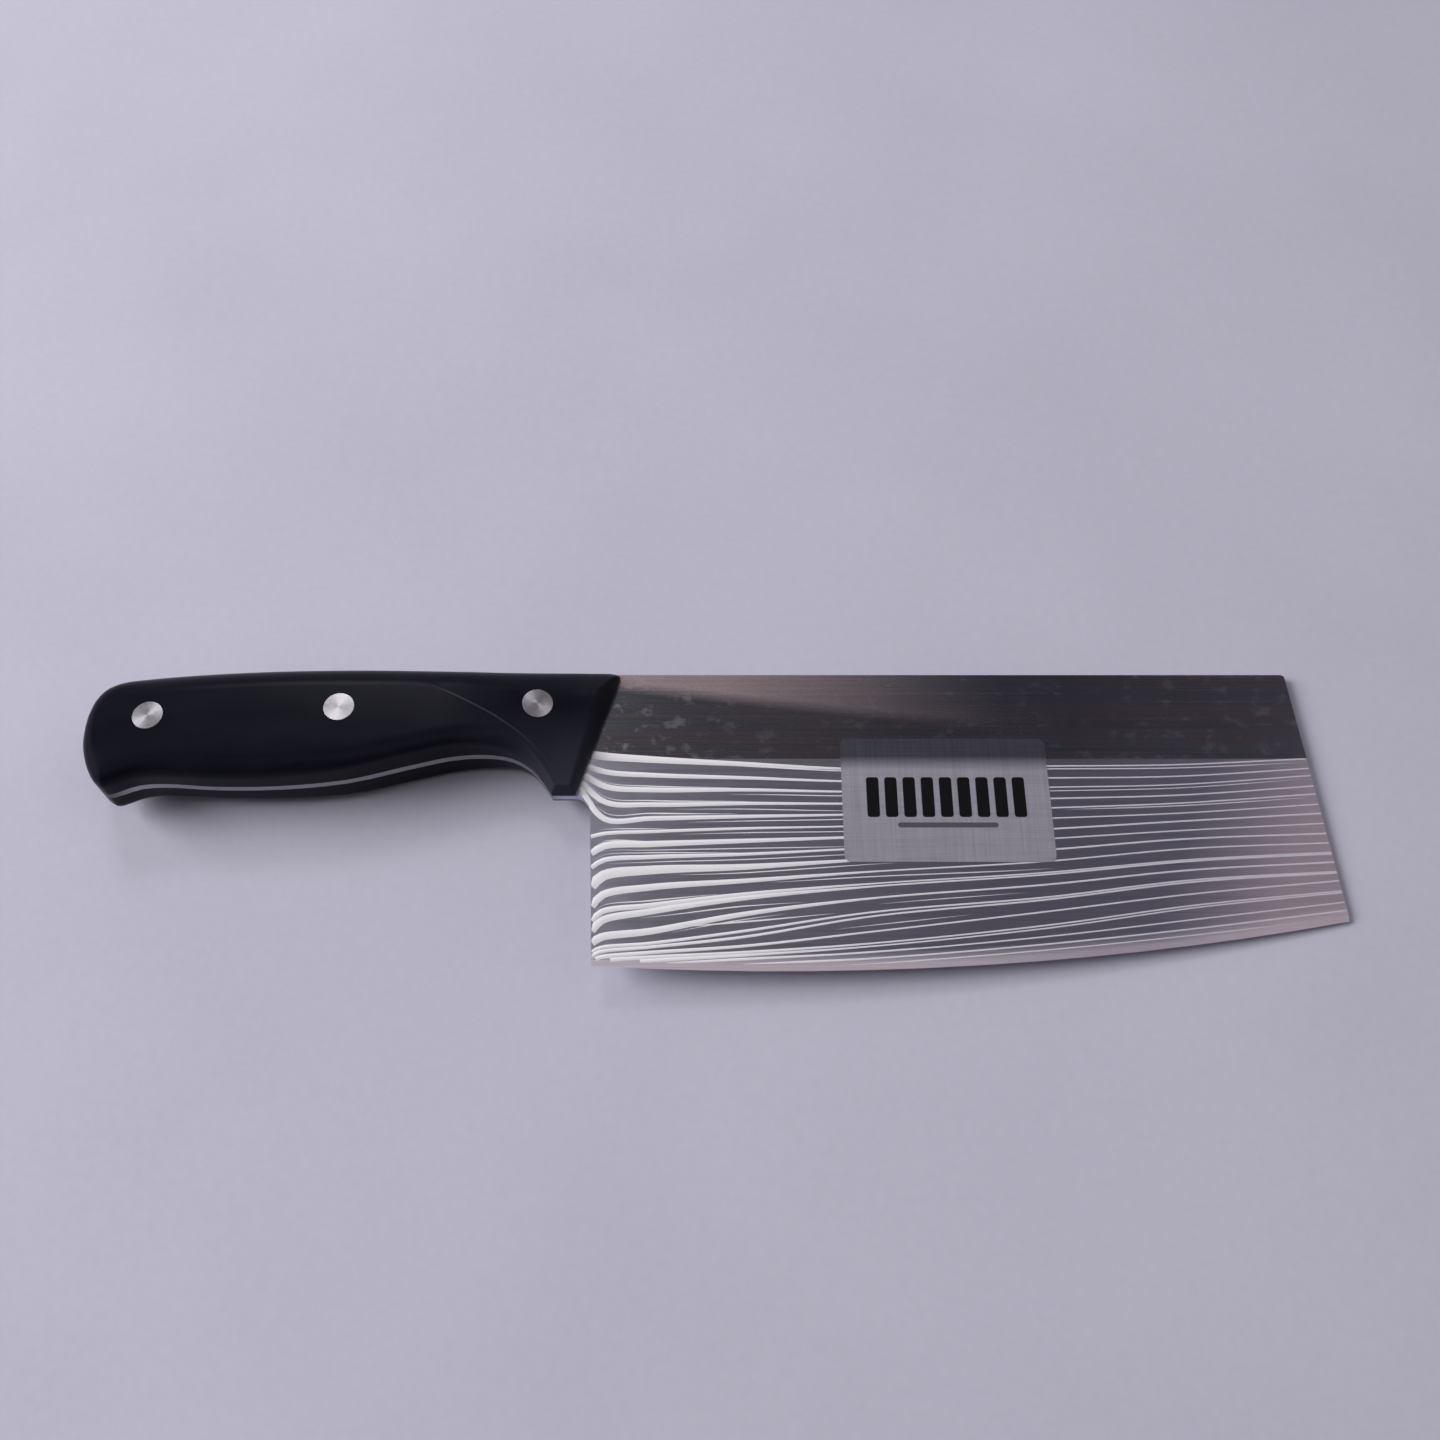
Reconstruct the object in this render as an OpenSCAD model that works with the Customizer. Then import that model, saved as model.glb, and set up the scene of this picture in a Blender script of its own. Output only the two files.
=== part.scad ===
// Kitchen cleaver with a full tang, two riveted handle scales and a foil label.
// Drawing frame: X along the spine from the handle to the tip, Y up to the spine,
// Z out of the label side, with the spine's corner at the handle as zero.
// The finished part is moved so that it lies on its side round the origin.

/* [Blade] */
// Length of the spine in front of the handle
blade_len = 166; // [140:1:200]
// Height from the spine to the lowest point of the edge
blade_h = 77; // [68:0.5:95]
// Thickness of the steel sheet, which the tang keeps
blade_t = 2; // [1.6:0.1:3.2]
// Depth of the fine grinding of each cheek in front of the handle
cheek_cut = 0.05; // [0.02:0.01:0.1]
// Radius of the curved cutting edge, seen from the side
edge_r = 735; // [500:5:1500]
// Distance of the edge's lowest point from the handle
edge_low_x = 38; // [25:1:60]
// Lean of the front end, in degrees
front_lean = 3.5; // [0:0.5:8]
// Radius of the spine's front corner
nose_r = 1; // [0.5:0.1:4]
// Distance of the grind line below the spine
grind_drop = 23.5; // [18:0.5:32]
// Thickness behind the edge bevel, at the lowest point
edge_t = 0.56; // [0.4:0.02:0.9]
// Angle of the edge bevel on each side, in degrees
edge_angle = 15; // [12:1:20]
// Setback of the heel behind the handle's front top corner
heel_back = 6.9; // [5:0.1:8]
// Lean of the heel, in degrees
heel_lean = 2.7; // [0:0.1:5]
// Radius between the tang and the heel
heel_r = 3.8; // [2:0.1:5]

/* [Handle] */
// Length of the handle along the spine
handle_len = 130.2; // [115:0.2:150]
// Depth of the handle at its guard
handle_h = 33.5; // [29:0.5:38]
// Thickness over both scales
handle_t = 18.6; // [16:0.2:22]
// Slope of the handle's front edge, in degrees
guard_slope = 17.2; // [12:0.2:22]
// Height of the square wall of each scale beside the tang, at the top of the handle
top_wall = 0.4; // [0.2:0.1:1.5]
// Height of the steep wall of each scale beside the tang, at the deepest of the belly
belly_wall = 5.3; // [4:0.1:5.6]
// Width of the rounding along the top of a scale
top_round = 7.4; // [4:0.2:8]
// Width of the rounding along the belly of a scale
belly_round = 5.2; // [3.5:0.1:6.5]
// Width of the rounding at the butt
butt_round = 3.4; // [2:0.1:5]
// Width of the bevel at the top of the guard's front edge
guard_bevel = 3.6; // [2:0.1:4.5]
// Width of the bevel at the tip of the guard
guard_tip_bevel = 1.5; // [1:0.1:2.2]
// Height of the step between the grip and the guard block
ridge_step = 0.45; // [0.2:0.05:0.8]
// Width of that step
ridge_w = 0.7; // [0.5:0.1:1.2]

/* [Rivets] */
// Diameter of a rivet head
head_d = 7.4; // [6.5:0.1:8.5]
// Thickness of a rivet head
head_t = 2.4; // [1.8:0.1:3]
// Outer diameter of a rivet's socket half
socket_d = 5; // [4.4:0.1:5.6]
// Diameter of a rivet's pin half
pin_d = 3.2; // [2.6:0.1:3.6]
// Clearance of a head in its counterbore, all round
head_gap = 0.06; // [0.03:0.01:0.12]
// Clearance of a socket in its holes, all round
socket_gap = 0.05; // [0.03:0.01:0.15]
// Clearance of a pin in its socket, all round
pin_gap = 0.02; // [0.01:0.01:0.05]
// Space left at the ends of a pin and a socket
end_gap = 0.4; // [0.2:0.1:0.8]

/* [Label] */
// Width of the label
label_w = 50; // [35:0.5:60]
// Height of the label
label_h = 32.5; // [20:0.5:34]
// Thickness of the label
label_t = 0.12; // [0.08:0.01:0.3]
// Radius of the label's corners
label_r = 1.7; // [0.5:0.1:4]
// Distance of the label from the handle's front top corner
label_x = 53.8; // [40:0.1:70]
// Distance of the label below the spine
label_drop = 18; // [12:0.5:22]

/* [Hidden] */

steel = [0.62, 0.62, 0.66];
black = [0.09, 0.09, 0.11];
silver = [0.74, 0.74, 0.78];
foil = [0.70, 0.70, 0.76];

// How far cutting solids run past what they cut
overrun = 5;
half_t = blade_t / 2;
half_handle = handle_t / 2;

// Top and belly lines of the handle, station by station from the butt to the guard.
// Each point is a share of the handle's length from the butt and of its depth.
top_line_shares = [
    [0, 0.433], [0.005, 0.307], [0.019, 0.2], [0.041, 0.133], [0.068, 0.098],
    [0.097, 0.08], [0.14, 0.061], [0.2, 0.042], [0.285, 0.023], [0.385, 0.009],
    [0.508, 0.002], [0.615, 0.005], [0.708, 0.008], [0.785, 0.007], [0.854, 0.004],
    [0.908, 0.001], [0.938, 0], [0.962, 0]
];
belly_line_shares = [
    [0, 0.522], [0.0045, 0.666], [0.0165, 0.807], [0.0335, 0.924], [0.049, 0.979],
    [0.065, 0.985], [0.112, 0.918], [0.168, 0.907], [0.256, 0.928], [0.371, 0.922],
    [0.493, 0.872], [0.605, 0.761], [0.686, 0.687], [0.751, 0.672], [0.799, 0.704],
    [0.836, 0.791], [0.86, 0.903], [0.8765, 1]
];
// Half thickness under the top shoulder, half thickness over the belly shoulder, and
// the crown between them, at each station and at the front edge, as shares of the most
thickness_shares = [
    [0.85, 0.87, 0.03], [0.85, 0.87, 0.03], [0.855, 0.875, 0.035], [0.86, 0.88, 0.035],
    [0.865, 0.89, 0.04], [0.87, 0.9, 0.04], [0.89, 0.905, 0.045], [0.91, 0.92, 0.05],
    [0.93, 0.945, 0.045], [0.945, 0.97, 0.04], [0.93, 0.99, 0.034], [0.9, 0.985, 0.03],
    [0.85, 0.96, 0.02], [0.79, 0.88, 0.01], [0.74, 0.74, 0], [0.72, 0.58, 0],
    [0.71, 0.48, 0], [0.7, 0.44, 0], [0.69, 0.43, 0]
];
// Place of the ridge between the grip and the guard block, as a share of the way from
// the top line to the belly line, and the height of its step there, as a share
ridge_shares = [
    [0.16, 0], [0.16, 0], [0.16, 0], [0.16, 0], [0.16, 0], [0.16, 0], [0.16, 0],
    [0.16, 0], [0.16, 0], [0.16, 0], [0.16, 0], [0.2, 0.15], [0.456, 0.7], [0.65, 1],
    [0.8, 0.9], [0.86, 0.5], [0.89, 0.2], [0.93, 0], [0.93, 0]
];
// Width of the rounding along the belly and height of the steep wall below it, as shares
belly_shares = [
    [0.65, 0.4], [0.65, 0.4], [0.65, 0.4], [0.65, 0.45], [0.7, 0.5], [0.75, 0.55],
    [0.85, 0.55], [0.95, 0.5], [1, 0.5], [1, 0.65], [0.95, 0.88], [0.9, 1], [0.9, 1],
    [0.85, 0.84], [0.66, 0.45], [0.42, 0.12], [0.33, 0.02], [0.29, 0], [0.29, 0]
];
// Rivets, as shares of the way from the butt to the guard and from the top to the belly
rivet_shares = [[0.35, 0.468], [0.577, 0.452], [0.8417, 0.455]];

// Stations drawn in each stretch between two listed ones, and in the guard's front
station_steps = 3;
guard_steps = 7;
// Stations at the butt over which the top rounding widens
butt_stations = 6;
// Stations over which the rounding turns crisp towards the guard, and how crisp it gets
crisp_from = 12;
crisp_stations = 4;
crisp_share = 0.6;
// Fullness of the rounding along the top, where 2 is an ellipse, and along the belly
top_fullness = 2;
belly_fullness = 3.2;
// Most of a station's length that a rounding and half the ridge's step may take
round_limit_share = 0.3;
ridge_limit_share = 0.03;
// Rows drawn over the top rounding, the two flats and the belly rounding
top_rows = 6;
flat_rows = 3;
belly_rows = 7;

last_station = len(top_line_shares) - 1;

// Smooth curve through a table, one unit of s for each entry
function smooth(table, s) =
    let (
        last = len(table) - 1,
        i = max(min(floor(s), last - 1), 0),
        u = s - i,
        a = table[max(i - 1, 0)],
        b = table[i],
        c = table[i + 1],
        d = table[min(i + 2, last)]
    )
    b + (c - a) * u / 2 + (2 * a - 5 * b + 4 * c - d) * u * u / 2
      + (3 * b - a - 3 * c + d) * u * u * u / 2;

function mix(a, b, u) = a * (1 - u) + b * u;
function handle_point(share) = [(share[0] - 1) * handle_len, -share[1] * handle_h];
// Point of the guard's front edge at a depth below the spine
function front_point(drop) = [-drop * tan(guard_slope), -drop];

// Top line: the listed curve, then a rounded corner down to the front edge
function top_point(s) =
    s <= last_station
        ? handle_point(smooth(top_line_shares, s))
        : let (
            u = s - last_station,
            start = handle_point(top_line_shares[last_station]),
            corner = front_point(0),
            end = front_point(guard_bevel / 2)
        )
        mix(mix(start, corner, u), mix(corner, end, u), u);

// Belly line: the listed curve, then straight along the guard's tip
function belly_point(s) =
    s <= last_station
        ? handle_point(smooth(belly_line_shares, s))
        : mix(
            handle_point(belly_line_shares[last_station]), front_point(handle_h), s - last_station
        );

// Widths of the edge rounding along the two lines
function top_width(s) =
    mix(butt_round, top_round, min(s / butt_stations, 1))
      + (guard_bevel - top_round) * max(s - last_station, 0);
function belly_width(s) =
    s <= last_station
        ? belly_round * smooth(belly_shares, s)[0]
        : mix(belly_round * belly_shares[last_station][0], guard_tip_bevel, s - last_station);

// Stations, closer together towards the front edge
stations = [
    for (i = [0 : last_station * station_steps]) i / station_steps,
    for (i = [1 : guard_steps]) last_station + sin(90 * i / guard_steps)
];

// Outline of a scale as [x, y, width of the rounding there]
function outline() = [
    for (s = stations) [each top_point(s), top_width(s)],
    for (i = [len(stations) - 1 : -1 : 0])
        [each belly_point(stations[i]), belly_width(stations[i])]
];

// Distance from a point to one side of the outline, in widths of the rounding
function side_reach(p, a, b) =
    let (
        way = [b[0] - a[0], b[1] - a[1]],
        from = [p[0] - a[0], p[1] - a[1]],
        u = max(min((from * way) / (way * way), 1), 0)
    )
    norm(from - way * u) / mix(a[2], b[2], u);

function edge_reach(p, loop) =
    min([for (i = [0 : len(loop) - 1]) side_reach(p, loop[i], loop[(i + 1) % len(loop)])]);

// Rise of the rounding from its foot, 0, to the face, 1, at station s, a share v of the
// way to the belly: round along the top, fuller along the belly, crisp on the guard
function rise(reach, s, v) =
    let (
        q = min(reach, 1),
        fullness = mix(top_fullness, belly_fullness, v),
        crisp = crisp_share * max(min((s - crisp_from) / crisp_stations, 1), 0)
    )
    mix(pow(1 - (1 - q) * (1 - q), 1 / fullness), q, crisp);

// Half thickness of the handle's face at station s, a share v of the way to the belly
function face_height(s, v) =
    let (
        shares = smooth(thickness_shares, s),
        ridge = smooth(ridge_shares, s),
        length = norm(top_point(s) - belly_point(s)),
        past = (v - ridge[0]) * length / ridge_w + 0.5,
        over = max(min(past, 1), 0)
    )
    half_handle * (mix(shares[0], shares[1], v) + 4 * shares[2] * v * (1 - v))
      + ridge_step * ridge[1] * over;

function surface_point(s, v, loop) =
    let (
        p = mix(top_point(s), belly_point(s), v),
        foot = half_t + mix(top_wall, belly_wall * smooth(belly_shares, s)[1], v * v)
    )
    [each p, foot + (face_height(s, v) - foot) * rise(edge_reach(p, loop), s, v)];

// Shares of the way from the top line to the belly line at which the rows of a station lie
function row_shares(s) =
    let (
        length = norm(top_point(s) - belly_point(s)),
        top = min(top_width(s) / length, round_limit_share),
        belly = min(belly_width(s) / length, round_limit_share),
        half_ridge = min(ridge_w / length / 2, ridge_limit_share),
        place = smooth(ridge_shares, s)[0],
        ridge = max(min(place, 1 - belly - 2 * half_ridge), top + 2 * half_ridge)
    )
    [
        for (i = [0 : top_rows]) top * (1 - cos(90 * i / top_rows)),
        for (i = [1 : flat_rows]) mix(top, ridge - half_ridge, i / flat_rows),
        for (i = [0 : flat_rows]) mix(ridge + half_ridge, 1 - belly, i / flat_rows),
        for (i = [belly_rows - 1 : -1 : 0]) 1 - belly * (1 - cos(90 * i / belly_rows))
    ];

// One handle scale on the label side, without its rivet holes
module scale_form() {
    loop = outline();
    rows = [for (s = stations) [for (v = row_shares(s)) surface_point(s, v, loop)]];
    count = len(rows);
    wide = len(rows[0]);
    base = count * wide;
    points = [
        for (row = rows) each row,
        for (s = stations) [each top_point(s), half_t],
        for (s = stations) [each belly_point(s), half_t]
    ];
    faces = [
        for (i = [0 : count - 2], j = [0 : wide - 2])
            let (a = i * wide + j)
            each [[a, a + wide, a + 1], [a + 1, a + wide, a + wide + 1]],
        for (i = [0 : count - 2])
            let (t = base + i, b = t + count, g = i * wide, h = g + wide - 1)
            each [
                [t, t + 1, g], [g, t + 1, g + wide],
                [h, h + wide, b], [b, h + wide, b + 1],
                [t, b, t + 1], [t + 1, b, b + 1]
            ],
        for (j = [0 : wide - 2]) [base, j, j + 1],
        [base, wide - 1, base + count],
        for (j = [0 : wide - 2])
            let (a = (count - 1) * wide + j)
            [base + count - 1, a + 1, a],
        [base + count - 1, base + 2 * count - 1, base - 1]
    ];
    polyhedron(points, faces);
}

// Place and slant of the handle's face at a rivet, the slant over a short way each side
seat_probe_share = 0.05;
function seat_point(i, du = 0, dv = 0) =
    let (
        s = rivet_shares[i][0] * last_station + du,
        v = rivet_shares[i][1] + dv
    )
    [each mix(top_point(s), belly_point(s), v), face_height(s, v)];
function seat_normal(i) =
    let (
        along = seat_point(i, seat_probe_share, 0) - seat_point(i, -seat_probe_share, 0),
        up = seat_point(i, 0, -seat_probe_share) - seat_point(i, 0, seat_probe_share),
        n = cross(along, up)
    )
    n / norm(n);

// Holes for rivet i in the scale on the label side
module rivet_holes(i) {
    seat = seat_point(i);
    translate([seat[0], seat[1], 0]) {
        translate([0, 0, -overrun])
            cylinder(h = handle_t, d = socket_d + 2 * socket_gap, $fn = 48);
        translate([0, 0, seat[2] - head_t])
            cylinder(h = head_t + overrun, d = head_d + 2 * head_gap, $fn = 48);
    }
}

// Head of rivet i on the label side, ground flush with the slanting face
module rivet_head(i) {
    seat = seat_point(i);
    n = seat_normal(i);
    difference() {
        translate([seat[0], seat[1], seat[2] - head_t])
            cylinder(h = head_t + overrun, d = head_d, $fn = 48);
        translate(seat)
            rotate([-asin(n[1]), atan2(n[0], n[2]), 0])
                translate([-head_d, -head_d, 0])
                    cube([2 * head_d, 2 * head_d, 3 * overrun]);
    }
}

// Socket half: a head with a tube that passes through both scales and the tang.
// The tube starts halfway up inside the head.
module rivet_socket(i) {
    seat = seat_point(i);
    reach = seat[2] - head_t;
    difference() {
        union() {
            rivet_head(i);
            translate([seat[0], seat[1], end_gap - reach])
                cylinder(h = 2 * reach - end_gap + head_t / 2, d = socket_d, $fn = 48);
        }
        translate([seat[0], seat[1], -reach])
            cylinder(h = 2 * reach - end_gap, d = pin_d + 2 * pin_gap, $fn = 48);
    }
}

// Pin half: a head with a pin that is driven into the socket from the plain side
module rivet_pin(i) {
    seat = seat_point(i);
    reach = seat[2] - head_t;
    mirror([0, 0, 1]) {
        rivet_head(i);
        translate([seat[0], seat[1], 2 * end_gap - reach])
            cylinder(h = 2 * reach - 2 * end_gap + head_t / 2, d = pin_d, $fn = 48);
    }
}

module handle_scale() {
    difference() {
        scale_form();
        for (i = [0 : len(rivet_shares) - 1]) rivet_holes(i);
    }
}

// Centre of the cutting edge's circle, and where the front end meets that circle
edge_centre = [edge_low_x, edge_r - blade_h];
function front_drop() =
    let (
        m = tan(front_lean),
        dx = blade_len - edge_centre[0],
        a = 1 + m * m,
        b = 2 * (m * dx + edge_centre[1]),
        c = dx * dx + edge_centre[1] * edge_centre[1] - edge_r * edge_r
    )
    (sqrt(b * b - 4 * a * c) - b) / (2 * a);
tip = [blade_len + front_drop() * tan(front_lean), -front_drop()];

// Arc of radius r that joins two lines leaving a corner in directions a and b
arc_steps = 8;
function corner_arc(corner, a, b, r) =
    let (
        half = acos(a * b) / 2,
        middle = (a + b) / norm(a + b),
        centre = corner + middle * r / sin(half),
        start = corner + a * r / tan(half) - centre,
        turn = (180 - 2 * half) * sign(a[0] * b[1] - a[1] * b[0])
    )
    [
        for (i = [0 : arc_steps])
            let (angle = -turn * i / arc_steps)
            centre + [
                start[0] * cos(angle) - start[1] * sin(angle),
                start[0] * sin(angle) + start[1] * cos(angle)
            ]
    ];

// Side view of the blade and tang, running past the cutting edge
function blade_outline() =
    let (
        front_way = [sin(front_lean), -cos(front_lean)],
        heel_way = [sin(heel_lean), -cos(heel_lean)],
        heel_corner = [-heel_back, -handle_h],
        low = blade_h + overrun
    )
    [
        for (i = [0 : last_station * station_steps]) top_point(i / station_steps),
        each corner_arc([blade_len, 0], [-1, 0], front_way, nose_r),
        [blade_len + low * tan(front_lean), -low],
        [heel_corner[0] + (low - handle_h) * tan(heel_lean), -low],
        each corner_arc(heel_corner, heel_way, [-1, 0], heel_r),
        for (i = [last_station * station_steps : -1 : 0]) belly_point(i / station_steps)
    ];

// Side view of the part of the blade that is ground: all in front of the handle
module ground_area() {
    low = blade_h + 2 * overrun;
    polygon([
        front_point(0),
        front_point(low),
        [blade_len + blade_h, -low],
        [blade_len + blade_h, 0]
    ]);
}

// Half thickness of the flat cheeks, and their fall below the grind line
cheek = half_t - cheek_cut;
fall = atan((cheek - edge_t / 2) / (blade_h - grind_drop));

// Space above the label side of the ground blade, raised by lift
module above_cheek(lift) {
    deep = blade_h + 2 * overrun;
    translate([-handle_len, -deep, cheek + lift])
        cube([handle_len + 2 * blade_len, 2 * deep, blade_t + overrun]);
    translate([0, -grind_drop, cheek + lift])
        rotate([fall, 0, 0])
            translate([-handle_len, -deep, 0])
                cube([handle_len + 2 * blade_len, deep, blade_t + overrun]);
}

// What the grinding wheel takes off the label side in front of the handle
module grind_cut() {
    intersection() {
        linear_extrude(height = blade_t + overrun) ground_area();
        above_cheek(0);
    }
}

// Solid that leaves the bevels of the cutting edge: two flat cones base to base
module edge_cones() {
    rise_h = edge_r * tan(edge_angle);
    translate([edge_centre[0], edge_centre[1], 0]) {
        cylinder(h = rise_h, r1 = edge_r, r2 = 0, $fn = 720);
        mirror([0, 0, 1]) cylinder(h = rise_h, r1 = edge_r, r2 = 0, $fn = 720);
    }
}

// Steel of the blade and tang before the rivet holes are drilled
module blade_form() {
    intersection() {
        difference() {
            translate([0, 0, -half_t]) linear_extrude(height = blade_t) polygon(blade_outline());
            grind_cut();
            mirror([0, 0, 1]) grind_cut();
        }
        edge_cones();
    }
}

// Plan of the label, with round corners
module label_plan() {
    x = [label_x + label_r, label_x + label_w - label_r];
    y = [-label_drop - label_r, label_r - label_drop - label_h];
    for (i = x, j = y) translate([i, j]) circle(r = label_r, $fn = 32);
    translate([label_x, y[1]]) square([label_w, y[0] - y[1]]);
    translate([x[0], -label_drop - label_h]) square([x[1] - x[0], label_h]);
}

// Moves the drawing frame to the middle of the box that holds the part, on its floor
module placed() {
    translate([(handle_len - tip[0]) / 2, blade_h / 2, half_handle]) children();
}

module blade() {
    color(steel) placed() difference() {
        blade_form();
        for (i = [0 : len(rivet_shares) - 1])
            translate([seat_point(i)[0], seat_point(i)[1], -overrun])
                cylinder(h = 2 * overrun, d = socket_d + 2 * socket_gap, $fn = 48);
    }
}

module label_side_scale() { color(black) placed() handle_scale(); }
module plain_side_scale() { color(black) placed() mirror([0, 0, 1]) handle_scale(); }
module butt_rivet_socket() { color(silver) placed() rivet_socket(0); }
module butt_rivet_pin() { color(silver) placed() rivet_pin(0); }
module middle_rivet_socket() { color(silver) placed() rivet_socket(1); }
module middle_rivet_pin() { color(silver) placed() rivet_pin(1); }
module guard_rivet_socket() { color(silver) placed() rivet_socket(2); }
module guard_rivet_pin() { color(silver) placed() rivet_pin(2); }

module label() {
    color(foil) placed() difference() {
        intersection() {
            linear_extrude(height = blade_t + overrun) label_plan();
            above_cheek(0);
        }
        above_cheek(label_t);
    }
}

blade();
label_side_scale();
plain_side_scale();
butt_rivet_socket();
butt_rivet_pin();
middle_rivet_socket();
middle_rivet_pin();
guard_rivet_socket();
guard_rivet_pin();
label();
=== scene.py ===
"""Looks of the kitchen cleaver: finer handle scales, etched lines, label print, finishes, floor and light.

Shapes are written in millimetres in the drawing frame of the part: X along the spine, zero at the
handle's front top corner, and "drop" the distance below the spine. row() turns them into metres.
"""

import math

import bmesh
import bpy
import numpy as np
from mathutils import Matrix, Vector


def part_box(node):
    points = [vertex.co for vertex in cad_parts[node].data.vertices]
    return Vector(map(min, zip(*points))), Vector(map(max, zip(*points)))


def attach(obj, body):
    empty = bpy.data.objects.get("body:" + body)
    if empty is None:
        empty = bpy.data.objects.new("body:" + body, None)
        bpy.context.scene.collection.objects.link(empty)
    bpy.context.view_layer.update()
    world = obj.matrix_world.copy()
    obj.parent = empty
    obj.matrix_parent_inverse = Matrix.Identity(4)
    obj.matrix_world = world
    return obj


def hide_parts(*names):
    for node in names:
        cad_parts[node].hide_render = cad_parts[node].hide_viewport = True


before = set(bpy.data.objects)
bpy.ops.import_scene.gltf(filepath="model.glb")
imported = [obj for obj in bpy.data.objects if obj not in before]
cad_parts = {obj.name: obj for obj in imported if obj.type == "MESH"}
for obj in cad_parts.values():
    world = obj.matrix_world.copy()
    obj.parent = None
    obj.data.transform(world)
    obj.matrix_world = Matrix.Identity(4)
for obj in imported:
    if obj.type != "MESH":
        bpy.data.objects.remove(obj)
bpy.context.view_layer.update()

MM = 0.001

# Blade sizes in millimetres, angles in degrees
BLADE_LEN = 166.0
BLADE_H = 77.0
HALF_SHEET = 1.0
CHEEK = 0.95
EDGE_R = 735.0
EDGE_LOW_X = 38.0
EDGE_T = 0.56
EDGE_ANGLE = 15.0
FRONT_LEAN = 3.5
GRIND_DROP = 23.5
HEEL_BACK = 6.9
HEEL_LEAN = 2.7
HEEL_R = 3.8

# Handle sizes
HANDLE_LEN = 130.2
HANDLE_H = 33.5
HANDLE_T = 18.6
GUARD_SLOPE = 17.2
TOP_WALL = 0.4
BELLY_WALL = 5.3
TOP_ROUND = 7.4
BELLY_ROUND = 5.2
BUTT_ROUND = 3.4
GUARD_BEVEL = 3.6
GUARD_TIP_BEVEL = 1.5
RIDGE_STEP = 0.45
RIDGE_W = 0.7

# Rivet and label sizes
HEAD_D = 7.4
HEAD_T = 2.4
HEAD_GAP = 0.06
SOCKET_HOLE_D = 5.1
LABEL_X = 53.8
LABEL_W = 50.0
LABEL_T = 0.12

# Handle form, station by station from the butt to the guard, as in the part's source. Top and belly
# lines: shares of the handle's length and height.
TOP_LINE_SHARES = [
    (0, 0.433), (0.005, 0.307), (0.019, 0.2), (0.041, 0.133), (0.068, 0.098),
    (0.097, 0.08), (0.14, 0.061), (0.2, 0.042), (0.285, 0.023), (0.385, 0.009),
    (0.508, 0.002), (0.615, 0.005), (0.708, 0.008), (0.785, 0.007), (0.854, 0.004),
    (0.908, 0.001), (0.938, 0), (0.962, 0),
]
BELLY_LINE_SHARES = [
    (0, 0.522), (0.0045, 0.666), (0.0165, 0.807), (0.0335, 0.924), (0.049, 0.979),
    (0.065, 0.985), (0.112, 0.918), (0.168, 0.907), (0.256, 0.928), (0.371, 0.922),
    (0.493, 0.872), (0.605, 0.761), (0.686, 0.687), (0.751, 0.672), (0.799, 0.704),
    (0.836, 0.791), (0.86, 0.903), (0.8765, 1),
]
# Half thickness at the top, at the belly, and the crown between them. The last entry of this table
# and the next two is for the front edge.
THICKNESS_SHARES = [
    (0.85, 0.87, 0.03), (0.85, 0.87, 0.03), (0.855, 0.875, 0.035), (0.86, 0.88, 0.035),
    (0.865, 0.89, 0.04), (0.87, 0.9, 0.04), (0.89, 0.905, 0.045), (0.91, 0.92, 0.05),
    (0.93, 0.945, 0.045), (0.945, 0.97, 0.04), (0.93, 0.99, 0.034), (0.9, 0.985, 0.03),
    (0.85, 0.96, 0.02), (0.79, 0.88, 0.01), (0.74, 0.74, 0), (0.72, 0.58, 0),
    (0.71, 0.48, 0), (0.7, 0.44, 0), (0.69, 0.43, 0),
]
# Place of the ridge on the way from the top to the belly, and height of its step
RIDGE_SHARES = [(0.16, 0)] * 11 + [
    (0.2, 0.15), (0.456, 0.7), (0.65, 1), (0.8, 0.9), (0.86, 0.5), (0.89, 0.2), (0.93, 0), (0.93, 0),
]
# Width of the rounding along the belly, and height of the steep wall below it
BELLY_SHARES = [
    (0.65, 0.4), (0.65, 0.4), (0.65, 0.4), (0.65, 0.45), (0.7, 0.5), (0.75, 0.55),
    (0.85, 0.55), (0.95, 0.5), (1, 0.5), (1, 0.65), (0.95, 0.88), (0.9, 1), (0.9, 1),
    (0.85, 0.84), (0.66, 0.45), (0.42, 0.12), (0.33, 0.02), (0.29, 0), (0.29, 0),
]
# Rivets: on the way from the butt to the guard, and from the top to the belly
RIVET_SHARES = [(0.35, 0.468), (0.577, 0.452), (0.8417, 0.455)]
LAST_STATION = len(TOP_LINE_SHARES) - 1
# Stations over which the top rounding widens at the butt
BUTT_STATIONS = 6
# Stations over which the rounding turns crisp towards the guard, and how crisp it gets
CRISP_FROM = 12
CRISP_STATIONS = 4
CRISP_SHARE = 0.6
# Fullness of the rounding along the top, where 2 is an ellipse, and along the belly
TOP_FULLNESS = 2
BELLY_FULLNESS = 3.2
# Most of a station's length that a rounding and half the ridge may take
ROUND_LIMIT_SHARE = 0.3
RIDGE_LIMIT_SHARE = 0.03
# Step in stations and in shares of the way down, over which the face's slope is taken
SLOPE_STEP = 0.05

# Rows and stations of the finer scales
STATION_STEPS = 12
GUARD_STEPS = 20
TOP_ROWS = 16
FLAT_ROWS = 12
RIDGE_ROWS = 4
BELLY_ROWS = 20
GRIP_CREASE_ANGLE = 38

# The drawing frame's zero in the row frame, in millimetres
ORIGIN_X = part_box("blade")[0][0] / MM + HANDLE_LEN
ORIGIN_Y = BLADE_H / 2
ORIGIN_Z = HANDLE_T / 2


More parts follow.
